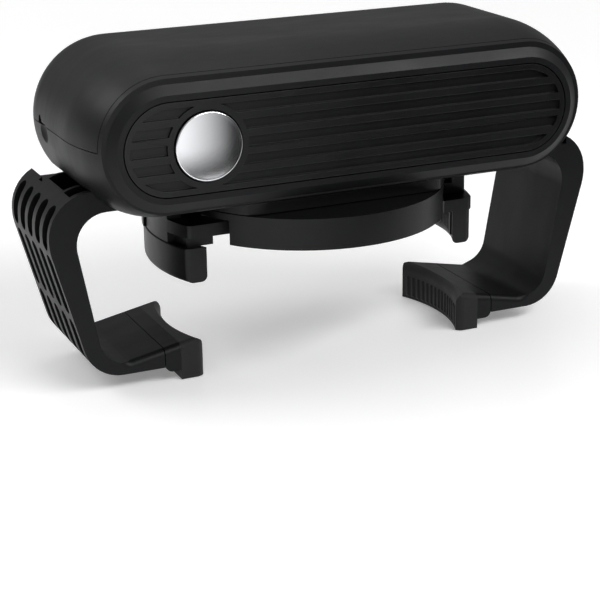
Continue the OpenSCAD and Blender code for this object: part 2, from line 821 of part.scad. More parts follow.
module collar() color("#2b2d31") {
    difference() {
        translate([0, 0, collar_low]) linear_extrude(collar_high - collar_low) collar_outline();
        body_solid(0, front_y + chamfer_d);
        front_frame();
        translate([0, 0, collar_low - 1]) cylinder(20, r = hub_r + hub_clear);
        for (x = collar_posts, y = [-post_y, post_y]) translate([x, y, collar_low - 1]) {
            cylinder(20, r = screw_r);
            cylinder(1 + screw_sink, r = head_r + 0.2);
        }
    }
}

module collar_screws() color("#8f949a") {
    for (x = collar_posts, y = [-post_y, post_y]) translate([x, y, screw_meet - 0.2]) rotate([180, 0, 0])
        screw(screw_r, screw_meet - 0.2 - collar_low - screw_sink + e, head_r, head_h);
}

module drum_windows(low, high, x) {
    for (s = [0, 180]) rotate(s) translate([x, -window_half - window_x + x, low])
        cube([drum_r, 2 * (window_half + window_x - x), high - low]);
}

module head_drum() color("#2b2d31") {
    difference() {
        union() {
            translate([0, 0, drum_low]) cylinder(drum_high - drum_low, r = drum_r);
            translate([0, 0, drum_high - e]) cylinder(hub_top + hub_ring_t - drum_high, r = hub_r);
        }
        // room for the racks and the bottom plate
        translate([-drum_r, -window_half, drum_floor - e])
            cube([2 * drum_r, 2 * window_half, drum_roof - drum_floor]);
        translate([0, 0, drum_low - 1]) cylinder(drum_floor - drum_low + 1, r = plate_r + 0.2);
        drum_windows(drum_low - 1, drum_roof, window_x);
        // slots in the roof that the posts slide along
        for (s = [0, 180]) rotate(s) translate([slot_x, -post_wide - 0.6, drum_low])
            cube([drum_r, post_wide + post_half + 1.2, 20]);
        translate([0, 0, drum_low - 1]) cylinder(40, r = shaft_r + shaft_clear);
        for (p = drum_screw_at) at(p) translate([0, 0, drum_low])
            cylinder(drum_screw_top + 0.1 - drum_low, r = screw_r);
    }
}

module drum_plate() color("#232528") {
    difference() {
        translate([0, 0, drum_low]) cylinder(drum_floor - drum_low, r = plate_r);
        drum_windows(drum_low - 1, drum_roof, window_x - 0.2);
        for (p = drum_screw_at) at(p) translate([0, 0, drum_low - 1]) {
            cylinder(4, r = screw_r);
            cylinder(1 + screw_sink, r = head_r + 0.2);
        }
    }
}

module drum_screws() color("#8f949a") {
    for (p = drum_screw_at) at(p) translate([0, 0, drum_screw_top]) rotate([180, 0, 0])
        screw(screw_r, drum_screw_top - drum_low - screw_sink + e, head_r, head_h);
}

module hub_ring() color("#8f949a") {
    translate([0, 0, hub_top]) difference() {
        cylinder(hub_ring_t, r = hub_r + 3);
        translate([0, 0, -1]) cylinder(4, r = hub_r);
    }
}

// ---- Arms -----------------------------------------------------------------

// Upper face of foot, shoe and pad
function toe_top(x) = arm_floor + toe_t + (x + shoe_seam) * tan(toe_slope);

// Inner side of the left arm, set back into the wall by the distance t
function arm_inside(t) = [
    [-arm_inner_foot - t, arm_floor + foot_t - t, 9 + t],
    [-arm_inner_top - t, arm_inner_z, 11], [-arm_inner_top - t, arm_ceiling + t, 10 + t],
    [-plate_end, arm_ceiling + t, 0]];

// Side view of the left arm: X along the body, Y up
module arm_side() {
    polygon(rounded(concat(
        [[-plate_end, arm_top, 0], [-arm_reach, arm_top, arm_corner], [-arm_reach, arm_wide_z, 20],
         [-arm_foot_x, arm_floor, 13], [-shoe_seam, arm_floor, 0], [-shoe_seam, toe_top(-shoe_seam), 0]],
        arm_inside(0))));
}

// The side view without the skin along its inner side
module arm_skinless() {
    difference() {
        arm_side();
        polygon(rounded(concat(arm_inside(arm_skin), [[0, arm_top, 0], [0, 0, 0], [1 - shoe_seam, 0, 0],
            [1 - shoe_seam, toe_top(1 - shoe_seam) - arm_skin, 0]])));
    }
}

// Outer side of the arm at the height z
function arm_x(z) = -arm_reach + (arm_reach - arm_foot_x) * max(0, arm_wide_z - z) / (arm_wide_z - arm_floor);

// Rows of slots: middle height, length and tilt of each row, and how far its
// middle lies inside the outer side
slot_rows = [[55.6, 14.4, 18, 2.2], [37, 20.8, -15.2, 0], [17.4, 16.2, -16.5, 0.5]];

module arm_slots() {
    for (row = slot_rows, i = [-2:2]) translate([arm_x(row[0]) + row[3], i * slot_pitch, row[0]])
        rotate([0, row[2] - 90, 0]) translate([0, 0, -12]) linear_extrude(30)
            stadium((row[1] - slot_w) / 2, slot_w / 2);
}

// Recesses in the arm's top, next to the body: outer end, front side, width, floor
top_recesses = [[-89.2, 9, 14, 62.4], [-90.4, 6.4, 3, 62],
    [-88.3, -11.5, 16.4, 61.5], [-88.8, -19.2, 6, 62.4]];

// Waste outside a rounded edge that lies at the origin
module edge_waste(r) {
    difference() {
        translate([-1, -1]) square(r + 1);
        translate([r, r]) circle(r);
    }
}

// Waste along the upper edges of foot, shoe and pad. It runs out where the
// foot bends up into the arm
module toe_edges() {
    for (s = [0, 1]) mirror([0, s, 0])
        translate([-shoe_seam, -arm_w / 2, arm_floor + toe_t]) rotate([0, -toe_slope, 0]) {
            translate([20, 0, 0]) rotate([0, -90, 0]) mirror([1, 0, 0])
                linear_extrude(20 + foot_flat) edge_waste(toe_round);
            translate([-foot_flat, 0, toe_round]) rotate([-90, 0, 0]) rotate([0, 0, 90])
                rotate_extrude(angle = 80) translate([toe_round, 0]) edge_waste(toe_round);
        }
}

rack_back = arm_pitch_r + dedendum * arm_mod + rack_bar;
rack_seat = 9;                             // length of rack inside the arm
rack_screw_at = [-plate_end - rack_seat / 2, rack_bar / 2 - rack_back];

module left_arm_shell() color("#26282b") {
    difference() {
        union() {
            translate([0, arm_w / 2, 0]) rotate([90, 0, 0]) linear_extrude(arm_w) arm_side();
            // tongue that carries the back of the rack
            translate([-plate_end - e, -arm_w / 2, arm_ceiling])
                cube([tongue + e, arm_w / 2 - rack_back, ring_web_low - 0.3 - arm_ceiling]);
        }
        intersection() {
            translate([0, arm_w / 2 - 1.6, 0]) rotate([90, 0, 0]) linear_extrude(arm_w - 3.2) arm_skinless();
            arm_slots();
        }
        for (p = top_recesses) translate([p[0], p[1], p[3]])
            cube([-74 - p[0], p[2], arm_top]);
        toe_edges();
        // seat of the rack
        translate([-plate_end - rack_seat, -rack_back, rack_low])
            cube([rack_seat + 1, rack_back - arm_pitch_r + arm_mod, 8]);
        at(rack_screw_at) translate([0, 0, arm_ceiling - 1]) cylinder(4, r = 0.9);
    }
}

module left_arm_rack() color("#3c4045") {
    difference() {
        translate([0, -arm_pitch_r, rack_low]) linear_extrude(rack_high - rack_low)
            mirror([0, 1]) rack_outline(arm_mod, -plate_end - rack_seat, rack_end, rack_bar);
        at(rack_screw_at) translate([0, 0, rack_low - 1]) cylinder(10, r = 0.9);
    }
}

module left_rack_screws() color("#8f949a") {
    at(rack_screw_at) translate([0, 0, arm_ceiling]) screw(0.9, rack_high - arm_ceiling + e, 1.8, head_h);
}

// The shoe goes on from the foot's upper face, with its seam as wide as seam_gap
module left_shoe() color("#2a2c2f") {
    x = -shoe_seam + seam_gap;
    difference() {
        translate([0, arm_w / 2, 0]) rotate([90, 0, 0]) linear_extrude(arm_w)
            polygon(rounded([[x, toe_top(x), 0], [x, shoe_low, 2.4],
                [-pad_back, shoe_low, 0], [-pad_back, toe_top(-pad_back), 0]]));
        toe_edges();
    }
    // spigot that meets the foot
    translate([-shoe_seam, -arm_w / 2 + 6, arm_floor + 1.4]) cube([seam_gap + e, arm_w - 12, 2.4]);
    pad_tongue();
}

// Tongue of the shoe that the pad is moulded round
module pad_tongue() {
    translate([-pad_back - e, -arm_w / 2 + 5, shoe_low + 1]) cube([1.8, arm_w - 10, 5]);
}

module left_grip_pad() color("#1f2022") {
    high = toe_top(-pad_in);
    difference() {
        intersection() {
            linear_extrude(high) polygon(rounded([
                [-pad_back, -arm_w / 2, 0], [-pad_in, -arm_w / 2, pad_edge],
                [-pad_in, arm_w / 2, pad_edge], [-pad_back, arm_w / 2, 0]]));
            translate([0, arm_w, 0]) rotate([90, 0, 0]) linear_extrude(2 * arm_w)
                polygon([[-pad_back, 0], [-pad_in, 0], [-pad_in, high], [-pad_back, toe_top(-pad_back)]]);
            // round the jar, with the hollow's upper edge rolled over
            rotate_extrude($fn = 180) polygon(rounded([[jar_r, 0, 0], [2 * jar_r, 0, 0],
                [2 * jar_r, high - 0.7, 0], [jar_r, high - 0.7, pad_roll]], 8));
        }
        toe_edges();
        pad_tongue();
    }
}

module right_arm_shell() rotate(180) left_arm_shell();
module right_arm_rack() rotate(180) left_arm_rack();
module right_rack_screws() rotate(180) left_rack_screws();
module right_shoe() rotate(180) left_shoe();
module right_grip_pad() rotate(180) left_grip_pad();

// ---- Lid jaws -------------------------------------------------------------

module arc_zone(r1, r2, half) {
    intersection() {
        difference() {
            circle(r2, $fn = 180);
            circle(r1, $fn = 180);
        }
        translate([-2 * r2, -half]) square([2 * r2, 2 * half]);
    }
}

// Waste outside the two rounded outer corners of such an arc
module corner_waste(r2, half, corner_r) {
    c = [-sqrt(pow(r2 - corner_r, 2) - pow(half - corner_r, 2)), half - corner_r];
    for (s = [0, 1]) mirror([0, s, 0]) difference() {
        polygon([c, c * (r2 + 1) / (r2 - corner_r), [c[0] - 4, half + 1], [c[0], half + 1]]);
        translate(c) circle(corner_r);
    }
}

module left_jaw() color("#2b2d31") {
    rail_half = window_half - 4;
    claw_r = lid_r + strip_out;
    difference() {
        intersection() {
            rotate_extrude($fn = 180) polygon(rounded([
                [claw_r, claw_low, claw_round], [claw_out_r, claw_low, claw_round],
                [claw_out_r, claw_high, 0.5], [claw_r, claw_high, 0]], 6));
            translate([-2 * claw_out_r, -claw_half, 0]) cube([2 * claw_out_r, 2 * claw_half, body_floor]);
        }
        linear_extrude(body_floor) corner_waste(claw_out_r, claw_half, claw_corner);
        strip_block();
    }
    // flange, post and the plate that runs into the drum
    translate([0, 0, claw_high - e]) linear_extrude(plate_low - claw_high + 2 * e) {
        arc_zone(claw_r, claw_out_r - flange_back, claw_half - flange_back);
        translate([-claw_r - 1, -claw_half + flange_back])
            square([claw_r + 1 - flange_end, 2 * (claw_half - flange_back)]);
    }
    // the step, at the back end alone
    translate([0, 0, claw_high - e]) linear_extrude(step_top - claw_high) difference() {
        union() {
            arc_zone(claw_r, claw_out_r + step_out, claw_half);
            translate([-claw_r - 1, 0]) square([claw_r + 1 - flange_end, claw_half]);
        }
        corner_waste(claw_out_r + step_out, claw_half, claw_corner);
        translate([-2 * claw_out_r, -2 * claw_half]) square([2 * claw_out_r, 2 * claw_half + post_half]);
    }
    translate([0, 0, claw_high - e]) linear_extrude(post_high - claw_high) difference() {
        arc_zone(claw_in_r - 0.6, claw_out_r - post_back, post_wide);
        translate([-2 * claw_out_r, -post_half - claw_half]) square([2 * claw_out_r, claw_half]);
    }
    translate([0, 0, plate_low]) linear_extrude(plate_high - plate_low) difference() {
        union() {
            arc_zone(claw_r, claw_out_r - post_back, rail_half);
            translate([-claw_r - 1, -rail_half]) square([claw_r + 1 - rail_x, 2 * rail_half]);
        }
        corner_waste(claw_out_r - post_back, rail_half, 1.8);
        translate([-2 * claw_out_r, post_wide]) square([2 * claw_out_r, claw_half]);
        // lane for the other jaw's rack
        translate([-plate_x, -lid_pitch_r - dedendum * lid_mod - jaw_bar - rack_room])
            square([plate_x, jaw_bar + (dedendum + addendum) * lid_mod + 2 * rack_room]);
    }
    translate([0, lid_pitch_r, jaw_rack_low]) linear_extrude(jaw_rack_high - jaw_rack_low)
        rack_outline(lid_mod, -plate_x - 4.5, jaw_rack_end, jaw_bar);
}

// The strip fills a pocket in the claw
module strip_block() {
    translate([0, 0, claw_low + 2.4]) linear_extrude(claw_high - claw_low - 3.6)
        arc_zone(lid_r, claw_in_r, claw_half - 2.6);
}

module left_jaw_strip() color("#17181a") strip_block();

module right_jaw() rotate(180) left_jaw();
module right_jaw_strip() rotate(180) left_jaw_strip();

main_housing();
grille_panel();
top_cover();
collar();
collar_screws();
button_cap();
button_plunger();
button_spring();
switch_body();
switch_board();
battery_tray();
battery_cells();
battery_contacts();
motor_can();
motor_shaft();
motor_pinion();
gear_plate();
gear_top_plate();
gear_axles();
gear_screws();
first_reduction_gear();
second_reduction_gear();
sun_gear();
planet_gear_1();
planet_gear_2();
planet_gear_3();
planet_carrier();
planet_pins();
ring_gear();
head_shaft();
lid_pinion();
head_drum();
drum_plate();
drum_screws();
hub_ring();
left_arm_shell();
left_arm_rack();
left_rack_screws();
left_shoe();
left_grip_pad();
right_arm_shell();
right_arm_rack();
right_rack_screws();
right_shoe();
right_grip_pad();
left_jaw();
left_jaw_strip();
right_jaw();
right_jaw_strip();
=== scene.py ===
"""Looks of an electric jar opener: finishes, small pieces, studio and camera.

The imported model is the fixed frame. Sizes are metres, X runs along the body,
Y from the front panel to the back, Z up.
"""

import json
import math

import bmesh
import bpy
from mathutils import Matrix, Vector


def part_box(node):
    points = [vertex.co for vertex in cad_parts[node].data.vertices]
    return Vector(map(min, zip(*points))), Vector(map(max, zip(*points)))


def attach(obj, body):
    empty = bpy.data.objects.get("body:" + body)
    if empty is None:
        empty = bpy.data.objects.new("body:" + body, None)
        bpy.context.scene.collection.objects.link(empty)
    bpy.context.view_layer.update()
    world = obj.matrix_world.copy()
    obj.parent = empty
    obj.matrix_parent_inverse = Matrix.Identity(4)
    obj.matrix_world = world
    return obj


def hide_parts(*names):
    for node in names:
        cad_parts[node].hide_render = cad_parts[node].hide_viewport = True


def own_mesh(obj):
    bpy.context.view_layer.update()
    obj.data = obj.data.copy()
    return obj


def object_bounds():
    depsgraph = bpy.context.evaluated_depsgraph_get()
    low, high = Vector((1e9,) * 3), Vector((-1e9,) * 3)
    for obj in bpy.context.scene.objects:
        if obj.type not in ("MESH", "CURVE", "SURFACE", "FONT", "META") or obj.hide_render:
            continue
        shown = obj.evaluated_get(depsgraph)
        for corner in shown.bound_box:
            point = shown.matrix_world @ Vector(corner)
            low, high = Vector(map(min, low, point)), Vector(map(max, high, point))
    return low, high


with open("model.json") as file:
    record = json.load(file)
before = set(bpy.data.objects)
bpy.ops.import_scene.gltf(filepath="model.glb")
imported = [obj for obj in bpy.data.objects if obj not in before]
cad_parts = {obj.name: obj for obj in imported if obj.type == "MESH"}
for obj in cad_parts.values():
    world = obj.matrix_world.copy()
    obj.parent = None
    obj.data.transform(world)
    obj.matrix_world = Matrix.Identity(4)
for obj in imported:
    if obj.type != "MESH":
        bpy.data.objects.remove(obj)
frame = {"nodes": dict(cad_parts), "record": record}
CAD_LOW, CAD_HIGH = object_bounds()
MM = 0.001

bl_info = {
    "name": "Electric jar opener",
    "version": (1, 0, 0),
    "blender": (4, 5, 0),
    "location": "3D View > Sidebar > Jar opener",
    "description": "Finishes, small pieces and studio of an electric jar opener",
    "category": "Object",
}


# ---- Sizes and colours ------------------------------------------------------


def colour(name, description, default):
    return bpy.props.FloatVectorProperty(
        name=name, description=description, default=default, subtype="COLOR", size=3, min=0, max=1
    )


def length(name, description, default):
    return bpy.props.FloatProperty(
        name=name, description=description, default=default, min=0, unit="LENGTH", subtype="DISTANCE"
    )


def share(name, description, default):
    return bpy.props.FloatProperty(
        name=name, description=description, default=default, min=0, max=1, subtype="FACTOR"
    )


def number(name, description, default, **limits):
    return bpy.props.FloatProperty(name=name, description=description, default=default, **limits)


def power(name, description, default):
    return number(name, description, default, min=0, unit="POWER")


def camera_place(name, description, default):
    return number(name, description, default, unit="LENGTH")


def camera_angle(name, description, degrees):
    return number(name, description, math.radians(degrees), subtype="ANGLE")


class JarOpenerFinishes(bpy.types.PropertyGroup):
    housing: colour("Housing", "Soft black of the housing and its cover", (0.0052, 0.0054, 0.0060))
    panel: colour("Panel", "Black of the ribbed front panel", (0.0036, 0.0038, 0.0043))
    arms: colour("Arms", "Charcoal of the two arms", (0.0050, 0.0053, 0.0059))
    head: colour("Head", "Charcoal of the collar, drum and jaws", (0.0048, 0.0050, 0.0055))
    rubber: colour("Rubber", "Black of the pads and strips", (0.0042, 0.0043, 0.0046))
    chrome: colour("Button", "Chrome of the push button", (0.80, 0.81, 0.83))
    inner: colour("Inner parts", "Dark grey of tray, plates and racks", (0.055, 0.058, 0.063))
    gear: colour("Gears", "Natural acetal of the gears", (0.74, 0.72, 0.64))
    steel: colour("Steel", "Axles, screws, motor can and springs", (0.56, 0.57, 0.59))
    brass: colour("Brass", "The two metal pinions", (0.72, 0.53, 0.24))
    wrap: colour("Cell wrap", "Plain wrap of the batteries", (0.06, 0.13, 0.24))
    board: colour("Board", "Green of the switch board", (0.03, 0.14, 0.06))
    roughness: share("Housing roughness", "Roughness of the soft-touch housing", 0.46)
    edge: length("Edge radius", "Rounding that the mouldings' edges get", 0.35 * MM)


class JarOpenerSizes(bpy.types.PropertyGroup):
    jar_radius: length("Jar radius", "Radius of the grip pads' hollow faces", 51.4 * MM)
    lid_radius: length("Lid radius", "Radius of the jaw strips' hollow faces", 49 * MM)
    pad_pitch: length("Pad rib pitch", "Distance from one rib of a grip pad to the next", 2.6 * MM)
    strip_pitch: length("Strip rib pitch", "Distance from one rib of a jaw strip to the next", 1.7 * MM)
    spring_wire: length("Spring wire", "Wire radius of the button's spring", 0.35 * MM)
    spring_turns: number("Spring turns", "Turns of the button's spring", 4.5, min=1)
    button_travel: length("Button travel", "How far the button goes in", 1.0 * MM)
    button_crown: length("Button crown", "Height of the button's crown", 0.9 * MM)
    contact_wire: length("Contact wire", "Wire radius of the battery springs", 0.24 * MM)
    contact_gap: length("Contact gap", "Room that each battery spring keeps", 0.8 * MM)


class JarOpenerStudio(bpy.types.PropertyGroup):
    floor: colour("Floor", "Pale floor", (0.93, 0.93, 0.93))
    key: power("Key light", "Power of the large light above", 2.8)
    fill: power("Fill light", "Power of the strip light in front", 6.2)
    rim: power("Rim light", "Power of the light behind the left end", 2.4)
    sky: share("Surroundings", "Brightness of the white surroundings", 0.31)
    glow: share("Floor glow", "Light that the pale floor gives off by itself", 0.22)
    far_glow: share("Far glow", "The same far from the part, where the floor is the backdrop", 0.5)
    # The card lights nothing and only shows in reflections: its glow is a painted reflection of light
    card: number("White card", "Brightness of the card in front, at its white end", 1.25, min=0)
    lens: number("Lens", "Focal length on a 36 mm frame", 103.5, min=10, unit="CAMERA")
    camera_x: camera_place("Camera X", "Camera, along the body", -0.2317)
    camera_y: camera_place("Camera Y", "Camera, to the front", -0.5169)
    camera_z: camera_place("Camera Z", "Camera height", 0.2083)
    yaw: camera_angle("Yaw", "Camera turned from straight back to the right", 23.855)
    pitch: camera_angle("Pitch", "Camera tipped down", 19.095)
    roll: camera_angle("Roll", "Camera turned about its own axis", 0.889)


# ---- Material building ------------------------------------------------------


class Finish:
    """A material with object coordinates at hand and short calls for its nodes."""

    def __init__(self, name):
        self.material = bpy.data.materials.new(name)
        self.material.use_nodes = True
        self.tree = self.material.node_tree
        self.tree.nodes.clear()
        self.output = self.add("ShaderNodeOutputMaterial")
        self.shader = self.add("ShaderNodeBsdfPrincipled")
        self.tree.links.new(self.shader.outputs[0], self.output.inputs["Surface"])
        self.place = self.add("ShaderNodeTexCoord").outputs["Object"]

    def add(self, kind, **values):
        node = self.tree.nodes.new(kind)
        for key, value in values.items():
            setattr(node, key, value)
        return node

    def link(self, start, end):
        self.tree.links.new(start, end)

    def feed(self, socket, value):
        if isinstance(value, bpy.types.NodeSocket):
            self.link(value, socket)
        else:
            socket.default_value = value

    def mapped(self, move=(0, 0, 0), turn=(0, 0, 0), stretch=(1, 1, 1)):
        node = self.add("ShaderNodeMapping")
        self.link(self.place, node.inputs["Vector"])
        node.inputs["Location"].default_value = move
        node.inputs["Rotation"].default_value = turn
        node.inputs["Scale"].default_value = stretch
        return node.outputs[0]

    def noise(self, scale, detail=3, rough=0.55, place=None):
        node = self.add("ShaderNodeTexNoise")
        self.link(place or self.place, node.inputs["Vector"])
        node.inputs["Scale"].default_value = scale
        node.inputs["Detail"].default_value = detail
        node.inputs["Roughness"].default_value = rough
        return node.outputs["Fac"]

    def cells(self, scale):
        node = self.add("ShaderNodeTexVoronoi", feature="F1")
        self.link(self.place, node.inputs["Vector"])
        node.inputs["Scale"].default_value = scale
        return node.outputs["Distance"]

    def span(self, value, low, high, start=0.3, end=0.7):
        node = self.add("ShaderNodeMapRange")
        self.link(value, node.inputs["Value"])
        for name, number in (("From Min", start), ("From Max", end), ("To Min", low), ("To Max", high)):
            node.inputs[name].default_value = number
        return node.outputs["Result"]

    def maths(self, operation, a, b=0.0):
        node = self.add("ShaderNodeMath", operation=operation)
        self.feed(node.inputs[0], a)
        self.feed(node.inputs[1], b)
        return node.outputs[0]

    def mixed(self, share_of_second, first, second):
        node = self.add("ShaderNodeMix", data_type="RGBA")
        self.feed(node.inputs["Factor"], share_of_second)
        self.feed(node.inputs[6], (*first, 1) if isinstance(first, tuple) else first)
        self.feed(node.inputs[7], (*second, 1) if isinstance(second, tuple) else second)
        return node.outputs[2]

    def bump(self, height, distance, strength=1.0, over=None):
        node = self.add("ShaderNodeBump")
        self.link(height, node.inputs["Height"])
        node.inputs["Distance"].default_value = distance
        node.inputs["Strength"].default_value = strength
        if over is not None:
            self.link(over, node.inputs["Normal"])
        return node.outputs[0]

    def set(self, **values):
        names = {
            "colour": "Base Color", "rough": "Roughness", "metal": "Metallic", "normal": "Normal",
            "specular": "Specular IOR Level", "coat": "Coat Weight", "sheen": "Sheen Weight",
            "sheen_rough": "Sheen Roughness", "glow": "Emission Strength", "glow_colour": "Emission Color",
        }
        for key, value in values.items():
            if isinstance(value, tuple) and len(value) == 3:
                value = (*value, 1)
            self.feed(self.shader.inputs[names[key]], value)
        return self


def shade(rgb, factor):
    return tuple(min(1.0, c * factor) for c in rgb)


def moulded(name, rgb, rough=0.45, grain=2600, depth=0.02 * MM, specular=0.28, dust=0.1):
    """Injection-moulded plastic: fine spark-eroded grain, soft flow marks, faint handling marks."""
    f = Finish(name)
    flow = f.noise(14, 3, 0.5)
    cloud = f.noise(70, 4, 0.6)
    speck = f.noise(900, 2, 0.6)
    tone = f.mixed(f.span(flow, 0, 1), shade(rgb, 0.88), shade(rgb, 1.12))
    tone = f.mixed(f.span(cloud, 0, 0.35), tone, shade(rgb, 1.35))
    tone = f.mixed(f.span(speck, 0, dust, 0.62, 0.8), tone, shade(rgb, 3.2))
    smears = f.noise(34, 5, 0.65, f.mapped(turn=(0.3, 0.2, 0.5), stretch=(1, 2.6, 1)))
    smear = f.span(smears, -0.05, 0.06)
    scratches = f.noise(190, 2, 0.4, f.mapped(turn=(0.1, 0.6, 0.35), stretch=(1, 26, 1)))
    scratch = f.span(scratches, 0, 0.05, 0.66, 0.72)
    roughness = f.maths("ADD", f.maths("ADD", smear, rough), scratch)
    spark = f.bump(f.cells(grain), depth, 0.55)
    sink = f.bump(f.noise(24, 2, 0.4), 0.25 * MM, 0.12, spark)
    f.set(colour=tone, rough=roughness, specular=specular, normal=sink)
    return f.material


def rubber(name, rgb, rough=0.72):
    """Moulded rubber: dull, faintly bloomed, with a pebbled skin."""
    f = Finish(name)
    bloom = f.noise(60, 5, 0.7)
    tone = f.mixed(f.span(bloom, 0, 0.5), rgb, shade(rgb, 2.1))
    tone = f.mixed(f.span(f.noise(700, 2), 0, 0.25, 0.6, 0.75), tone, shade(rgb, 3.4))
    roughness = f.span(f.noise(120, 4), rough - 0.08, rough + 0.08)
    skin = f.bump(f.cells(1500), 0.04 * MM, 0.6)
    f.set(colour=tone, rough=roughness, specular=0.35, sheen=0.12, sheen_rough=0.5,
          normal=f.bump(f.noise(300, 3), 0.05 * MM, 0.4, skin))
    return f.material


def brushed(name, rgb, rough, grain, lines=500, stain=0.2):
    """Drawn or ground metal: long fine lines, slight stains and dull spots."""
    f = Finish(name)
    streak = f.noise(lines, 3, 0.6, f.mapped(stretch=grain))
    stains = f.noise(90, 4, 0.6)
    tone = f.mixed(f.span(streak, 0, 0.5), rgb, shade(rgb, 0.72))
    tone = f.mixed(f.span(stains, 0, stain, 0.45, 0.75), tone, shade(rgb, 0.5))
    roughness = f.maths("ADD", f.span(streak, rough - 0.07, rough + 0.07), f.span(stains, 0, 0.12, 0.5, 0.8))
    f.set(colour=tone, metal=1.0, rough=roughness, normal=f.bump(streak, 0.015 * MM, 0.5))
    return f.material


def turned_chrome(name, rgb, centre):
    """Satin chrome whose face was turned: faint rings round the button's middle."""
    f = Finish(name)
    place = f.mapped(move=(-centre[0], -centre[1], -centre[2]))
    rings = f.add("ShaderNodeTexWave", wave_type="RINGS", rings_direction="Y")
    f.link(place, rings.inputs["Vector"])
    rings.inputs["Scale"].default_value = 1300
    rings.inputs["Distortion"].default_value = 2.5
    rings.inputs["Detail"].default_value = 3
    haze = f.noise(160, 4, 0.6)
    tone = f.mixed(f.span(haze, 0, 0.2), rgb, shade(rgb, 0.93))
    roughness = f.maths("ADD", f.span(rings.outputs["Fac"], 0.14, 0.17), f.span(haze, 0, 0.02))
    f.set(colour=tone, metal=1.0, rough=roughness, normal=f.bump(rings.outputs["Fac"], 0.004 * MM, 0.3))
    return f.material


def acetal(name, rgb):
    """Natural acetal: waxy, slightly translucent white with faint grease on the teeth."""
    f = Finish(name)
    cloud = f.noise(110, 4, 0.6)
    grease = f.noise(260, 3, 0.6)
    tone = f.mixed(f.span(cloud, 0, 0.5), rgb, shade(rgb, 0.88))
    tone = f.mixed(f.span(grease, 0, 0.5, 0.55, 0.72), tone, (0.46, 0.40, 0.26))
    f.set(colour=tone, rough=f.span(grease, 0.42, 0.2, 0.5, 0.7), specular=0.5,
          normal=f.bump(f.noise(700, 3), 0.01 * MM, 0.4))
    return f.material


def circuit(name, rgb):
    """Green solder mask with darker lanes where the copper lies."""
    f = Finish(name)
    lanes = f.add("ShaderNodeTexBrick")
    f.link(f.mapped(turn=(math.radians(90), 0, 0)), lanes.inputs["Vector"])
    lanes.inputs["Scale"].default_value = 160
    lanes.inputs["Mortar Size"].default_value = 0.08
    lanes.inputs["Color1"].default_value = (*shade(rgb, 0.8), 1)
    lanes.inputs["Color2"].default_value = (*shade(rgb, 1.15), 1)
    lanes.inputs["Mortar"].default_value = (*shade(rgb, 2.0), 1)
    f.set(colour=lanes.outputs["Color"], rough=f.span(f.noise(200, 3), 0.2, 0.34), coat=0.3,
          normal=f.bump(lanes.outputs["Fac"], 0.03 * MM, 0.4))
    return f.material


def cell_wrap(name, rgb):
    """Plain shrink wrap on a steel cell: glossy, slightly rippled."""
    f = Finish(name)
    ripple = f.noise(130, 3, 0.5, f.mapped(stretch=(1, 3, 3)))
    tone = f.mixed(f.span(ripple, 0, 0.4), rgb, shade(rgb, 1.5))
    f.set(colour=tone, rough=f.span(ripple, 0.22, 0.34), coat=0.25,
          normal=f.bump(ripple, 0.05 * MM, 0.5))
    return f.material


# ---- Modifiers for the carried-over mouldings -------------------------------


def smooth_group():
    """Node group that shades smooth, apart from edges sharper than its angle."""
    name = "Smooth but for sharp edges"
    if name in bpy.data.node_groups:
        return bpy.data.node_groups[name]
    group = bpy.data.node_groups.new(name, "GeometryNodeTree")
    group.interface.new_socket("Geometry", in_out="INPUT", socket_type="NodeSocketGeometry")
    angle = group.interface.new_socket("Sharp angle", in_out="INPUT", socket_type="NodeSocketFloat")
    angle.subtype = "ANGLE"
    angle.default_value = math.radians(32)
    group.interface.new_socket("Geometry", in_out="OUTPUT", socket_type="NodeSocketGeometry")
    add = group.nodes.new
    start, end = add("NodeGroupInput"), add("NodeGroupOutput")
    faces, edges = add("GeometryNodeSetShadeSmooth"), add("GeometryNodeSetShadeSmooth")
    edges.domain = "EDGE"
    bend, gentle = add("GeometryNodeInputMeshEdgeAngle"), add("FunctionNodeCompare")
    gentle.operation = "LESS_THAN"
    link = group.links.new
    link(start.outputs[0], faces.inputs["Geometry"])
    link(faces.outputs[0], edges.inputs["Geometry"])
    link(bend.outputs["Unsigned Angle"], gentle.inputs[0])
    link(start.outputs[1], gentle.inputs[1])
    link(gentle.outputs[0], edges.inputs["Shade Smooth"])
    link(edges.outputs[0], end.inputs[0])
    return group


def finish_moulding(obj, edge=0.0, full=False, segments=2):
    """Joins the loose triangles, rounds the sharp edges and shades the rest smooth.

    A full rounding keeps its width where short edges would narrow it everywhere.
    """
    weld = obj.modifiers.new("Join", "WELD")
    weld.merge_threshold = 0.004 * MM
    if edge:
        flat = obj.modifiers.new("Flats", "DECIMATE")
        flat.decimate_type = "DISSOLVE"
        flat.angle_limit = math.radians(0.6)
        bevel = obj.modifiers.new("Edges", "BEVEL")
        bevel.width = edge
        bevel.segments = segments
        bevel.limit_method = "ANGLE"
        bevel.angle_limit = math.radians(38)
        bevel.miter_outer = "MITER_ARC"
        bevel.use_clamp_overlap = not full
    smooth = obj.modifiers.new("Smooth", "NODES")
    smooth.node_group = smooth_group()
    if edge:
        normals = obj.modifiers.new("Normals", "WEIGHTED_NORMAL")
        normals.keep_sharp = True


def coat(obj, material):
    """Gives a whole object one material."""
    obj.data.materials.clear()
    obj.data.materials.append(material)


def lathe(name, profile, place, around=96):
    """Closed solid turned about Z from (radius, height) points, then put in its place."""
    bm = bmesh.new()
    loops = []
    for r, z in profile:
        turns = [2 * math.pi * k / around for k in range(around)] if r else [0.0]
        loops.append([bm.verts.new((r * math.cos(a), r * math.sin(a), z)) for a in turns])
    for one, two in zip(loops, loops[1:]):
        for k in range(around):
            ring = [one[k % len(one)], one[(k + 1) % len(one)], two[(k + 1) % len(two)], two[k % len(two)]]
            face = list(dict.fromkeys(ring))
            if len(face) > 2:
                bm.faces.new(face)
    return placed(bm, name, place)


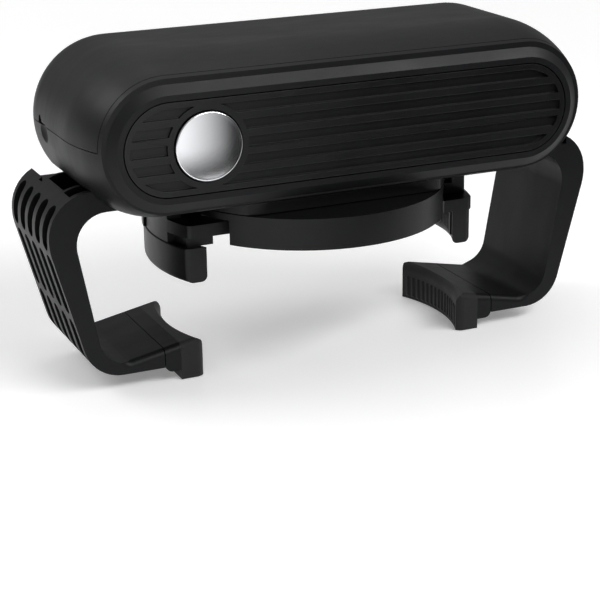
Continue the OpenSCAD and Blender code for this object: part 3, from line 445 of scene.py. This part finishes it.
def placed(bm, name, place):
    """Object at the origin from a bmesh whose points are moved to their place, closed and facing outwards."""
    bm.transform(place)
    bmesh.ops.remove_doubles(bm, verts=bm.verts, dist=0.001 * MM)
    bmesh.ops.recalc_face_normals(bm, faces=bm.faces)
    mesh = bpy.data.meshes.new(name)
    bm.to_mesh(mesh)
    bm.free()
    mesh.shade_smooth()
    obj = bpy.data.objects.new(name, mesh)
    bpy.context.scene.collection.objects.link(obj)
    return obj


def rib(name, radius, width, height, low, high):
    """Half-round upright rib on a hollow face of that radius round the origin."""
    bm = bmesh.new()
    sunk, taper, arc = 0.3 * MM, height * 1.2, 8
    loops = []
    for z, share_left in ((low, 0.15), (low + taper, 1), (high - taper, 1), (high, 0.15)):
        loop = [(-radius - sunk, -width / 2)]
        for k in range(arc + 1):
            a = math.pi * k / arc
            loop.append((-radius + height * share_left * math.sin(a), -width / 2 * math.cos(a)))
        loop.append((-radius - sunk, width / 2))
        loops.append([bm.verts.new((x, y, z)) for x, y in loop])
    for one, two in zip(loops, loops[1:]):
        for k in range(len(one)):
            j = (k + 1) % len(one)
            bm.faces.new((one[k], one[j], two[j], two[k]))
    bm.faces.new(loops[0])
    bm.faces.new(loops[-1])
    return placed(bm, name, Matrix.Identity(4))


# ---- Geometry Nodes trees ---------------------------------------------------


def new_tree(name, sockets):
    """Tree with a geometry output and inputs given as (name, kind, default)."""
    tree = bpy.data.node_groups.new(name, "GeometryNodeTree")
    tree.interface.new_socket("Geometry", in_out="OUTPUT", socket_type="NodeSocketGeometry")
    tree.interface.new_socket("Geometry", in_out="INPUT", socket_type="NodeSocketGeometry")
    for label, kind, default in sockets:
        socket = tree.interface.new_socket(label, in_out="INPUT", socket_type="NodeSocket" + kind)
        if default is not None:
            socket.default_value = default
    return tree


def painted_end(tree, geometry, start):
    """Ends a tree: real geometry in the material that is given."""
    real = tree.nodes.new("GeometryNodeRealizeInstances")
    paint = tree.nodes.new("GeometryNodeSetMaterial")
    end = tree.nodes.new("NodeGroupOutput")
    tree.links.new(geometry, real.inputs["Geometry"])
    tree.links.new(real.outputs["Geometry"], paint.inputs["Geometry"])
    tree.links.new(start.outputs["Material"], paint.inputs["Material"])
    tree.links.new(paint.outputs["Geometry"], end.inputs[0])


def row_tree():
    """Copies of one piece, each a step further along and a step further round."""
    name = "Row of pieces"
    if name in bpy.data.node_groups:
        return bpy.data.node_groups[name]
    tree = new_tree(name, (
        ("Piece", "Object", None), ("Count", "Int", 4), ("First", "Vector", (0, 0, 0)),
        ("Step", "Vector", (0, 0, 0)), ("First turn", "Vector", (0, 0, 0)), ("Turn", "Vector", (0, 0, 0)),
        ("Material", "Material", None)))
    add, link = tree.nodes.new, tree.links.new
    start, line, number = add("NodeGroupInput"), add("GeometryNodeMeshLine"), add("GeometryNodeInputIndex")
    line.mode = "OFFSET"
    link(start.outputs["Count"], line.inputs["Count"])
    link(start.outputs["First"], line.inputs["Start Location"])
    link(start.outputs["Step"], line.inputs["Offset"])
    turned, total = add("ShaderNodeVectorMath"), add("ShaderNodeVectorMath")
    turned.operation = "SCALE"
    link(start.outputs["Turn"], turned.inputs[0])
    link(number.outputs[0], turned.inputs["Scale"])
    link(turned.outputs[0], total.inputs[0])
    link(start.outputs["First turn"], total.inputs[1])
    piece, put = add("GeometryNodeObjectInfo"), add("GeometryNodeInstanceOnPoints")
    link(start.outputs["Piece"], piece.inputs["Object"])
    link(line.outputs["Mesh"], put.inputs["Points"])
    link(piece.outputs["Geometry"], put.inputs["Instance"])
    link(total.outputs[0], put.inputs["Rotation"])
    painted_end(tree, put.outputs["Instances"], start)
    return tree


def spring_tree():
    """Wound spring along Z whose first and last turns lie flat."""
    name = "Wound spring"
    if name in bpy.data.node_groups:
        return bpy.data.node_groups[name]
    steps_round, wire_sides = 40, 10
    tree = new_tree(name, (
        ("First radius", "Float", 5 * MM), ("Last radius", "Float", 5 * MM),
        ("Wire radius", "Float", 0.35 * MM), ("Turns", "Float", 4.5), ("Length", "Float", 8 * MM),
        ("Material", "Material", None)))
    add, link = tree.nodes.new, tree.links.new
    start, coil = add("NodeGroupInput"), add("GeometryNodeCurveSpiral")
    wire = add("GeometryNodeCurvePrimitiveCircle")
    coil.inputs["Resolution"].default_value = steps_round
    for label, end in (
            ("First radius", "Start Radius"), ("Last radius", "End Radius"), ("Turns", "Rotations"),
            ("Length", "Height")):
        link(start.outputs[label], coil.inputs[end])
    parts = add("GeometryNodeJoinGeometry")
    lift = add("ShaderNodeCombineXYZ")
    link(start.outputs["Length"], lift.inputs["Z"])
    for label, high in (("First radius", False), ("Last radius", True)):
        flat, moved = add("GeometryNodeCurvePrimitiveCircle"), add("GeometryNodeTransform")
        flat.inputs["Resolution"].default_value = steps_round
        link(start.outputs[label], flat.inputs["Radius"])
        link(flat.outputs["Curve"], moved.inputs["Geometry"])
        if high:
            link(lift.outputs[0], moved.inputs["Translation"])
        link(moved.outputs["Geometry"], parts.inputs["Geometry"])
    link(coil.outputs["Curve"], parts.inputs["Geometry"])
    wire.inputs["Resolution"].default_value = wire_sides
    link(start.outputs["Wire radius"], wire.inputs["Radius"])
    tube = add("GeometryNodeCurveToMesh")
    tube.inputs["Fill Caps"].default_value = True
    link(parts.outputs["Geometry"], tube.inputs["Curve"])
    link(wire.outputs["Curve"], tube.inputs["Profile Curve"])
    soft = add("GeometryNodeSetShadeSmooth")
    link(tube.outputs["Mesh"], soft.inputs["Geometry"])
    painted_end(tree, soft.outputs["Geometry"], start)
    return tree


def grown(name, tree, material, **values):
    """Runs a tree with the given inputs and keeps its result as a plain mesh."""
    mesh = bpy.data.meshes.new(name + "_start")
    obj = bpy.data.objects.new(name, mesh)
    bpy.context.scene.collection.objects.link(obj)
    modifier = obj.modifiers.new("Tree", "NODES")
    modifier.node_group = tree
    sockets = {
        item.name: item.identifier for item in tree.interface.items_tree
        if item.item_type == "SOCKET" and item.in_out == "INPUT"}
    modifier[sockets["Material"]] = material
    for label, value in values.items():
        modifier[sockets[label.replace("_", " ").capitalize()]] = value
    bpy.context.view_layer.update()
    seen = obj.evaluated_get(bpy.context.evaluated_depsgraph_get())
    result = bpy.data.meshes.new_from_object(seen)
    obj.modifiers.remove(modifier)
    obj.data = result
    result.name = name
    bpy.data.meshes.remove(mesh)
    return obj


def row_of(name, piece, material, count, first=(0, 0, 0), step=(0, 0, 0), first_turn=0.0, turn=0.0):
    """A row or ring of copies of a piece as one plain mesh. The piece itself goes."""
    obj = grown(name, row_tree(), material, piece=piece, count=count, first=tuple(first), step=tuple(step),
                first_turn=(0.0, 0.0, first_turn), turn=(0.0, 0.0, turn))
    bpy.data.objects.remove(piece)
    return obj


def rides(obj, node, slot, *replaced):
    """The piece stands for the nodes named last, and rides with the body of the first."""
    if replaced:
        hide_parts(*replaced)
    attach(obj, body_with(node))
    return obj


# ---- Operators --------------------------------------------------------------


def slot_of(node):
    for entry in frame["record"]["subparts"]:
        if entry["node"] == node:
            return entry["material_slot"]
    raise KeyError(node)


def body_with(node):
    for body, nodes in frame["record"]["behaviour"]["bodies"].items():
        if node in nodes:
            return body
    raise KeyError(node)


def finishes():
    return bpy.context.scene.jar_opener_finishes


def sizes():
    return bpy.context.scene.jar_opener_sizes


MATERIALS = {}


def button_centre():
    low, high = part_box("button_cap")
    return (low + high) / 2


class JAROPENER_OT_materials(bpy.types.Operator):
    """Make every finish and give it to the carried-over pieces"""

    bl_idname = "jar_opener.materials"
    bl_label = "Finishes"

    def execute(self, context):
        chosen = finishes()
        rgb = {name: tuple(getattr(chosen, name)) for name in (
            "housing", "panel", "arms", "head", "rubber", "chrome", "inner", "gear", "steel", "brass", "wrap",
            "board")}
        steel = rgb["steel"]
        made = {
            "housing_plastic": moulded(
                "soft black housing", rgb["housing"], chosen.roughness, 2400, 0.02 * MM, 0.22),
            "panel_plastic": moulded("satin black panel", rgb["panel"], 0.4, 3200, 0.015 * MM, 0.36),
            "arm_plastic": moulded("charcoal arm plastic", rgb["arms"], 0.44, 2600, 0.02 * MM, 0.17),
            "head_plastic": moulded("charcoal head plastic", rgb["head"], 0.4, 2800, 0.016 * MM),
            "inner_plastic": moulded("tray plastic", rgb["inner"], 0.5, 2000, 0.02 * MM),
            "plate_plastic": moulded("gear plate plastic", shade(rgb["inner"], 1.4), 0.48, 2000, 0.02 * MM),
            "rack_plastic": moulded("rack plastic", shade(rgb["inner"], 1.2), 0.4, 2200, 0.014 * MM),
            "switch_plastic": moulded("switch plastic", (0.015, 0.015, 0.016), 0.38, 3000, 0.01 * MM),
            "pad_rubber": rubber("grip pad rubber", rgb["rubber"], 0.7),
            "strip_rubber": rubber("lid strip rubber", shade(rgb["rubber"], 0.85), 0.66),
            "button_chrome": turned_chrome("satin chrome", rgb["chrome"], button_centre()),
            "spring_steel": brushed("spring wire", steel, 0.26, (1, 12, 1), lines=900, stain=0.1),
            "contact_metal": brushed(
                "nickel contact", shade(steel, 1.15), 0.22, (1, 1, 20), lines=700, stain=0.12),
            "motor_steel": brushed("plated motor can", shade(steel, 0.8), 0.3, (30, 30, 1), lines=260),
            "axle_steel": brushed("ground axle steel", steel, 0.18, (20, 20, 1), lines=800, stain=0.08),
            "screw_steel": brushed(
                "zinc-plated screw", shade(steel, 0.85), 0.34, (1, 1, 1), lines=900, stain=0.35),
            "carrier_steel": brushed("pressed steel", shade(steel, 0.9), 0.32, (1, 18, 1), lines=420),
            "pinion_brass": brushed("cut brass", rgb["brass"], 0.27, (16, 16, 1), lines=500, stain=0.3),
            "gear_plastic": acetal("natural acetal", rgb["gear"]),
            "board": circuit("switch board", rgb["board"]),
            "cell_wrap": cell_wrap("cell wrap", rgb["wrap"]),
            "solder": brushed("solder", (0.62, 0.62, 0.60), 0.2, (1, 1, 1), lines=1200, stain=0.3),
            "resistor": moulded("resistor lacquer", (0.42, 0.30, 0.16), 0.3, 3000, 0.004 * MM, 0.5, 0.05),
        }
        MATERIALS.update(made)
        for name, obj in frame["nodes"].items():
            coat(obj, made[slot_of(name)])
        return {"FINISHED"}


# Each moulding's edge rounding, as a share of the edge radius. The others keep their CAD edges.
EDGES = {
    "main_housing": 0.5, "grille_panel": 0.6, "top_cover": 0.4, "collar": 1.0, "head_drum": 1.0,
    "drum_plate": 0.6, "left_arm_shell": 1.6, "right_arm_shell": 1.6, "left_shoe": 1.4, "right_shoe": 1.4,
    "left_grip_pad": 1.2, "right_grip_pad": 1.2, "left_jaw": 1.4, "right_jaw": 1.4,
    "left_jaw_strip": 0.8, "right_jaw_strip": 0.8, "battery_tray": 1.0, "gear_plate": 0.6,
    "gear_top_plate": 0.6, "motor_can": 1.6, "switch_body": 0.7,
}
# Mouldings to which the full rounding adds no fold
FULL_EDGES = {"grille_panel", "battery_tray"}


class JAROPENER_OT_mouldings(bpy.types.Operator):
    """Round the edges of the carried-over pieces and shade them smooth"""

    bl_idname = "jar_opener.mouldings"
    bl_label = "Mouldings"

    def execute(self, context):
        for name, obj in frame["nodes"].items():
            finish_moulding(obj, EDGES.get(name, 0) * finishes().edge, name in FULL_EDGES)
        return {"FINISHED"}


class JAROPENER_OT_button(bpy.types.Operator):
    """Turn the crowned chrome button with its rounded rim, and wind its spring"""

    bl_idname = "jar_opener.button"
    bl_label = "Button and spring"

    def execute(self, context):
        low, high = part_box("button_cap")
        radius, deep = (high.x - low.x) / 2, high.y - low.y
        crown, rim, back_edge = sizes().button_crown, 0.55 * MM, 0.2 * MM
        face_steps, rim_steps = 14, 8
        profile = [(0.0, 0.0)]
        for i in range(1, face_steps + 1):
            r = (radius - rim) * i / face_steps
            profile.append((r, crown * (r / radius) ** 2))
        edge = profile[-1][1]
        for i in range(1, rim_steps + 1):
            a = math.radians(90 * i / rim_steps)
            profile.append((radius - rim + rim * math.sin(a), edge + rim * (1 - math.cos(a))))
        profile += [(radius, deep - back_edge), (radius - back_edge, deep), (0.0, deep)]
        centre = button_centre()
        backwards = Matrix.Rotation(math.radians(-90), 4, "X")
        on_panel = Matrix.Translation((centre.x, low.y, centre.z))
        cap = lathe("chrome_button", profile, on_panel @ backwards, 128)
        coat(cap, MATERIALS["button_chrome"])
        rides(cap, "button_cap", "button_chrome", "button_cap")
        ring_low, ring_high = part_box("button_spring")
        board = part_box("switch_board")[0]
        wire = sizes().spring_wire
        room = board.y - ring_low.y
        coil_radius = (ring_high.x - ring_low.x) / 2 - wire
        spring = grown("return_spring", spring_tree(), MATERIALS["spring_steel"],
                       first_radius=coil_radius, last_radius=coil_radius, wire_radius=wire,
                       turns=sizes().spring_turns, length=room - 2 * wire)
        spring.data.transform(Matrix.Translation((centre.x, ring_low.y + wire, centre.z)) @ backwards)
        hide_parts("button_spring")
        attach(spring, "housing")
        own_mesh(spring)
        return {"FINISHED"}


class JAROPENER_OT_batteries(bpy.types.Operator):
    """Lay the four plain cells between their plates and pressed springs"""

    bl_idname = "jar_opener.batteries"
    bl_label = "Batteries"

    def execute(self, context):
        low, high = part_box("battery_cells")
        radius, half, count = (high.z - low.z) / 2, (high.x - low.x) / 2, 4
        pitch = (high.y - low.y - 2 * radius) / (count - 1)
        where = dict(count=count, first=((low.x + high.x) / 2, low.y + radius, (low.z + high.z) / 2),
                     step=(0.0, pitch, 0.0), turn=math.pi)
        along = Matrix.Rotation(math.radians(90), 4, "Y")
        back, front, around = sizes().contact_gap - half, half, 56
        base, dish, shoulder, nipple = 5.4 * MM, 0.25 * MM, front - 1.5 * MM, 2.7 * MM
        skin, hem, inside = 0.15 * MM, 6.2 * MM, radius - 0.7 * MM
        can = [
            (0, back), (base, back), (base + 0.3 * MM, back + dish), (base + 0.9 * MM, back + dish),
            (radius - 0.5 * MM, back + 0.1 * MM), (radius - skin, back + 0.5 * MM),
            (radius - skin, shoulder - 0.4 * MM), (radius - 0.6 * MM, shoulder),
            (nipple + 2.9 * MM, shoulder - 0.05 * MM), (nipple + 0.7 * MM, shoulder),
            (nipple + 0.2 * MM, shoulder + 0.3 * MM), (nipple, front - 0.3 * MM),
            (nipple - 0.3 * MM, front), (0, front)]
        wrap = [
            (hem, back + 0.22 * MM), (radius - 0.45 * MM, back + 0.05 * MM),
            (radius - 0.1 * MM, back + 0.3 * MM), (radius, back + 0.7 * MM), (radius, shoulder - 0.6 * MM),
            (radius - 0.12 * MM, shoulder - 0.1 * MM), (radius - 0.6 * MM, shoulder + 0.15 * MM),
            (hem - 0.2 * MM, shoulder + 0.1 * MM),
            (hem - 0.2 * MM, shoulder - 0.1 * MM), (inside, shoulder - 0.7 * MM), (inside, back + 0.9 * MM),
            (hem, back + 0.22 * MM)]
        for name, profile, finish in (("cell_cans", can, "contact_metal"), ("cell_wraps", wrap, "cell_wrap")):
            piece = lathe(name + "_one", profile, along, around)
            row = row_of(name, piece, MATERIALS[finish], **where)
            rides(row, "battery_cells", slot_of("battery_cells"), "battery_cells")
        wire, wide_end, narrow_end = sizes().contact_wire, 3.9 * MM, 1.6 * MM
        one = grown("contact_spring", spring_tree(), MATERIALS["spring_steel"], first_radius=wide_end,
                    last_radius=narrow_end, wire_radius=wire, turns=3.0,
                    length=sizes().contact_gap - 2 * wire)
        one.data.transform(Matrix.Translation((wire - half, 0, 0)) @ along)
        springs = row_of("contact_springs", one, MATERIALS["spring_steel"], **where)
        rides(springs, "battery_contacts", "spring_steel")
        return {"FINISHED"}


class JAROPENER_OT_ribs(bpy.types.Operator):
    """Set the gripping ribs on the pads' and jaw strips' hollow faces"""

    bl_idname = "jar_opener.ribs"
    bl_label = "Gripping ribs"

    def execute(self, context):
        s = sizes()
        proud, margin, side_margin, width_share = 0.42 * MM, 1.0 * MM, 2.2 * MM, 0.62
        for node, radius, pitch, below, finish in (
                ("grip_pad", s.jar_radius, s.pad_pitch, 4.8 * MM, "pad_rubber"),
                ("jaw_strip", s.lid_radius, s.strip_pitch, margin, "strip_rubber")):
            for side, start in (("left", 0.0), ("right", math.pi)):
                low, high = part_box(f"{side}_{node}")
                half = math.asin((high.y - low.y) / 2 / radius) - side_margin / radius
                count = 1 + 2 * int(half * radius / pitch)
                turn = pitch / radius
                piece = rib("rib", radius, pitch * width_share, proud, low.z + margin, high.z - below)
                ring = row_of(f"{side}_{node}_ribs", piece, MATERIALS[finish], count,
                              first_turn=start - turn * (count - 1) / 2, turn=turn)
                rides(ring, f"{side}_{node}", slot_of(f"{side}_{node}"))
        return {"FINISHED"}


class JAROPENER_OT_electrics(bpy.types.Operator):
    """Add the motor's end cap and tabs, and the solder and small parts of the switch board"""

    bl_idname = "jar_opener.electrics"
    bl_label = "Electrics"

    def execute(self, context):
        low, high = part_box("motor_can")
        centre = (low + high) / 2
        bearing, rim, thick, clear = 4.2 * MM, 11.4 * MM, 1.3 * MM, 0.02 * MM
        top = high.z - 1.6 * MM
        cap = lathe("motor_end_cap", [
            (bearing, 0), (rim - 0.4 * MM, 0), (rim, 0.4 * MM), (rim - 0.2 * MM, thick - 0.3 * MM),
            (rim - 0.8 * MM, thick), (bearing + 1.0 * MM, thick), (bearing + 0.4 * MM, thick - 0.4 * MM),
            (bearing, thick - 0.4 * MM), (bearing, 0)],
            Matrix.Translation((centre.x, centre.y, top + clear)), 72)
        coat(cap, MATERIALS["switch_plastic"])
        rides(cap, "motor_can", "switch_plastic")
        bm = bmesh.new()
        bmesh.ops.create_cube(bm, size=1)
        bmesh.ops.bevel(bm, geom=bm.edges[:], offset=0.12, segments=2, affect="EDGES", profile=0.5)
        tab_out, tab_high, tab_size = 7.6 * MM, 1.9 * MM, (0.5 * MM, 2.4 * MM, 2.4 * MM, 1)
        tab = placed(bm, "tab", Matrix.Translation((0, 0, top + tab_high)) @ Matrix.Diagonal(tab_size))
        tabs = row_of("motor_tabs", tab, MATERIALS["contact_metal"], 2,
                      first=(centre.x - tab_out, centre.y, 0.0), step=(2 * tab_out, 0.0, 0.0))
        rides(tabs, "motor_can", "contact_metal")
        board_low, board_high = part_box("switch_board")
        middle = (board_low + board_high) / 2
        joint = [
            (0, -0.1 * MM), (0.95 * MM, -0.1 * MM), (0.9 * MM, 0.1 * MM), (0.5 * MM, 0.35 * MM),
            (0.3 * MM, 0.75 * MM), (0, 0.85 * MM)]
        pins, pin_pitch = 5, 2.54 * MM
        backwards = Matrix.Rotation(math.radians(-90), 4, "X")
        for name, shift in (("lower_solder", -3.4 * MM), ("upper_solder", 0.4 * MM)):
            at_pins = Matrix.Translation((0, board_high.y, middle.z + shift))
            piece = lathe("solder", joint, at_pins @ backwards, 20)
            row = row_of(name, piece, MATERIALS["solder"], pins,
                         first=(middle.x - pin_pitch * (pins - 1) / 2, 0.0, 0.0), step=(pin_pitch, 0.0, 0.0))
            rides(row, "switch_board", "contact_metal")
        bulge, waist, half_long = 1.15 * MM, 0.95 * MM, 3.1 * MM
        half_body = [
            (waist, half_long - 1.3 * MM), (bulge, half_long - 1.0 * MM), (bulge, half_long - 0.3 * MM),
            (bulge - 0.25 * MM, half_long), (0, half_long)]
        body = [(r, -z) for r, z in reversed(half_body)] + half_body
        across = Matrix.Rotation(math.radians(90), 4, "Y")
        on_board = Matrix.Translation((middle.x, board_low.y - bulge, board_low.z + 1.7 * MM))
        resistor = lathe("resistor", body, on_board @ across, 32)
        coat(resistor, MATERIALS["resistor"])
        rides(resistor, "switch_board", "board")
        return {"FINISHED"}


class JAROPENER_OT_stage(bpy.types.Operator):
    """Lay the pale floor, hang the soft lights and set up the camera"""

    bl_idname = "jar_opener.stage"
    bl_label = "Stage"

    def execute(self, context):
        s = context.scene.jar_opener_studio
        pale = Finish("pale floor")
        distance = pale.add("ShaderNodeVectorMath", operation="LENGTH")
        pale.link(pale.place, distance.inputs[0])
        near, far = 0.25, 0.9
        pale.set(colour=tuple(s.floor), rough=pale.span(pale.noise(6, 3), 0.3, 0.36), specular=0.4,
                 glow_colour=(1.0, 1.0, 1.0),
                 glow=pale.span(distance.outputs["Value"], s.glow, s.far_glow, near, far))
        mesh = bpy.data.meshes.new("floor")
        size, below = 4.0, 0.2 * MM
        corners = [(-size, -size, 0), (size, -size, 0), (size, size, 0), (-size, size, 0)]
        mesh.from_pydata(corners, [], [(0, 1, 2, 3)])
        floor = bpy.data.objects.new("floor", mesh)
        floor.data.materials.append(pale.material)
        context.scene.collection.objects.link(floor)
        floor.location.z = -below
        world = bpy.data.worlds.new("white surroundings")
        world.use_nodes = True
        world.node_tree.nodes["Background"].inputs["Color"].default_value = (1, 1, 1, 1)
        world.node_tree.nodes["Background"].inputs["Strength"].default_value = s.sky
        context.scene.world = world
        middle = (CAD_LOW + CAD_HIGH) / 2
        # Glowing card seen only in reflections: a painted reflection of light at its white left end, and of
        # shade at its dark right end and near the floor
        painted_reflection = Finish("graded card")
        along = painted_reflection.add("ShaderNodeSeparateXYZ")
        painted_reflection.link(painted_reflection.place, along.inputs[0])
        reflected_light_until, reflected_shade_from = -0.05, 0.03
        across = painted_reflection.span(along.outputs["X"], s.card, 0.02, reflected_light_until, reflected_shade_from)
        upwards = painted_reflection.span(along.outputs["Z"], 0, 1, 0.01, 0.05)
        painted_reflection.set(colour=(0.0, 0.0, 0.0), rough=1.0, specular=0.0, glow_colour=(1.0, 1.0, 1.0),
                   glow=painted_reflection.maths("MULTIPLY", across, upwards))
        left, right, top = (-0.09, -0.16), (0.40, -0.11), 0.15
        card("graded card", ((*left, 0.0), (*right, 0.0), (*right, top), (*left, top)), painted_reflection.material)
        softbox("key light", middle, (-0.12, 0.30, 0.86), (1.2, 0.8), s.key)
        softbox("fill light", middle, (0.33, -0.58, 0.60), (0.9, 0.22), s.fill)
        softbox("rim light", middle, (-0.62, 0.40, 0.60), (0.5, 0.4), s.rim)
        camera = bpy.data.objects.new("camera", bpy.data.cameras.new("camera"))
        camera.data.lens = s.lens
        camera.data.sensor_width = 36
        camera.data.clip_start, camera.data.clip_end = 0.01, 20
        level = Vector((math.sin(s.yaw), math.cos(s.yaw), 0)) * math.cos(s.pitch)
        ahead = level - Vector((0, 0, math.sin(s.pitch)))
        right = Vector((math.cos(s.yaw), -math.sin(s.yaw), 0))
        up = right.cross(ahead)
        turned = Matrix.Rotation(s.roll, 3, ahead)
        right, up = turned @ right, turned @ up
        camera.matrix_world = Matrix((
            (right.x, up.x, -ahead.x, s.camera_x), (right.y, up.y, -ahead.y, s.camera_y),
            (right.z, up.z, -ahead.z, s.camera_z), (0, 0, 0, 1)))
        context.scene.collection.objects.link(camera)
        context.scene.camera = camera
        context.scene.view_settings.view_transform = "Standard"
        return {"FINISHED"}


def card(name, corners, material):
    """Flat card of the studio that only shows in reflections, where its glow is a painted reflection."""
    mesh = bpy.data.meshes.new(name)
    mesh.from_pydata(corners, [], [(0, 1, 2, 3)])
    mesh.materials.append(material)
    obj = bpy.data.objects.new(name, mesh)
    bpy.context.scene.collection.objects.link(obj)
    obj.visible_camera = obj.visible_diffuse = obj.visible_shadow = False


def softbox(name, target, offset, size, power):
    """Rectangular light that faces the target."""
    data = bpy.data.lights.new(name, "AREA")
    data.shape = "RECTANGLE"
    data.size, data.size_y = size
    data.energy = power
    lamp = bpy.data.objects.new(name, data)
    lamp.location = target + Vector(offset)
    lamp.rotation_euler = (-Vector(offset)).to_track_quat("-Z", "Y").to_euler()
    bpy.context.scene.collection.objects.link(lamp)
    return lamp


class JAROPENER_PT_panel(bpy.types.Panel):
    """Sizes, colours and steps of the jar opener"""

    bl_label = "Jar opener"
    bl_idname = "JAROPENER_PT_panel"
    bl_space_type = "VIEW_3D"
    bl_region_type = "UI"
    bl_category = "Jar opener"

    def draw(self, context):
        scene = context.scene
        for group in (scene.jar_opener_finishes, scene.jar_opener_sizes, scene.jar_opener_studio):
            box = self.layout.box()
            for name in group.__annotations__:
                box.prop(group, name)
        for step in STEPS:
            self.layout.operator(step.bl_idname)


STEPS = (
    JAROPENER_OT_materials, JAROPENER_OT_mouldings, JAROPENER_OT_button, JAROPENER_OT_batteries,
    JAROPENER_OT_ribs, JAROPENER_OT_electrics, JAROPENER_OT_stage,
)
CLASSES = (JarOpenerFinishes, JarOpenerSizes, JarOpenerStudio, *STEPS, JAROPENER_PT_panel)


def register():
    for cls in CLASSES:
        bpy.utils.register_class(cls)
    bpy.types.Scene.jar_opener_finishes = bpy.props.PointerProperty(type=JarOpenerFinishes)
    bpy.types.Scene.jar_opener_sizes = bpy.props.PointerProperty(type=JarOpenerSizes)
    bpy.types.Scene.jar_opener_studio = bpy.props.PointerProperty(type=JarOpenerStudio)


def unregister():
    del bpy.types.Scene.jar_opener_studio
    del bpy.types.Scene.jar_opener_sizes
    del bpy.types.Scene.jar_opener_finishes
    for cls in reversed(CLASSES):
        bpy.utils.unregister_class(cls)


def main():
    register()
    for step in STEPS:
        area, name = step.bl_idname.split(".")
        getattr(getattr(bpy.ops, area), name)()


if __name__ == "__main__":
    main()
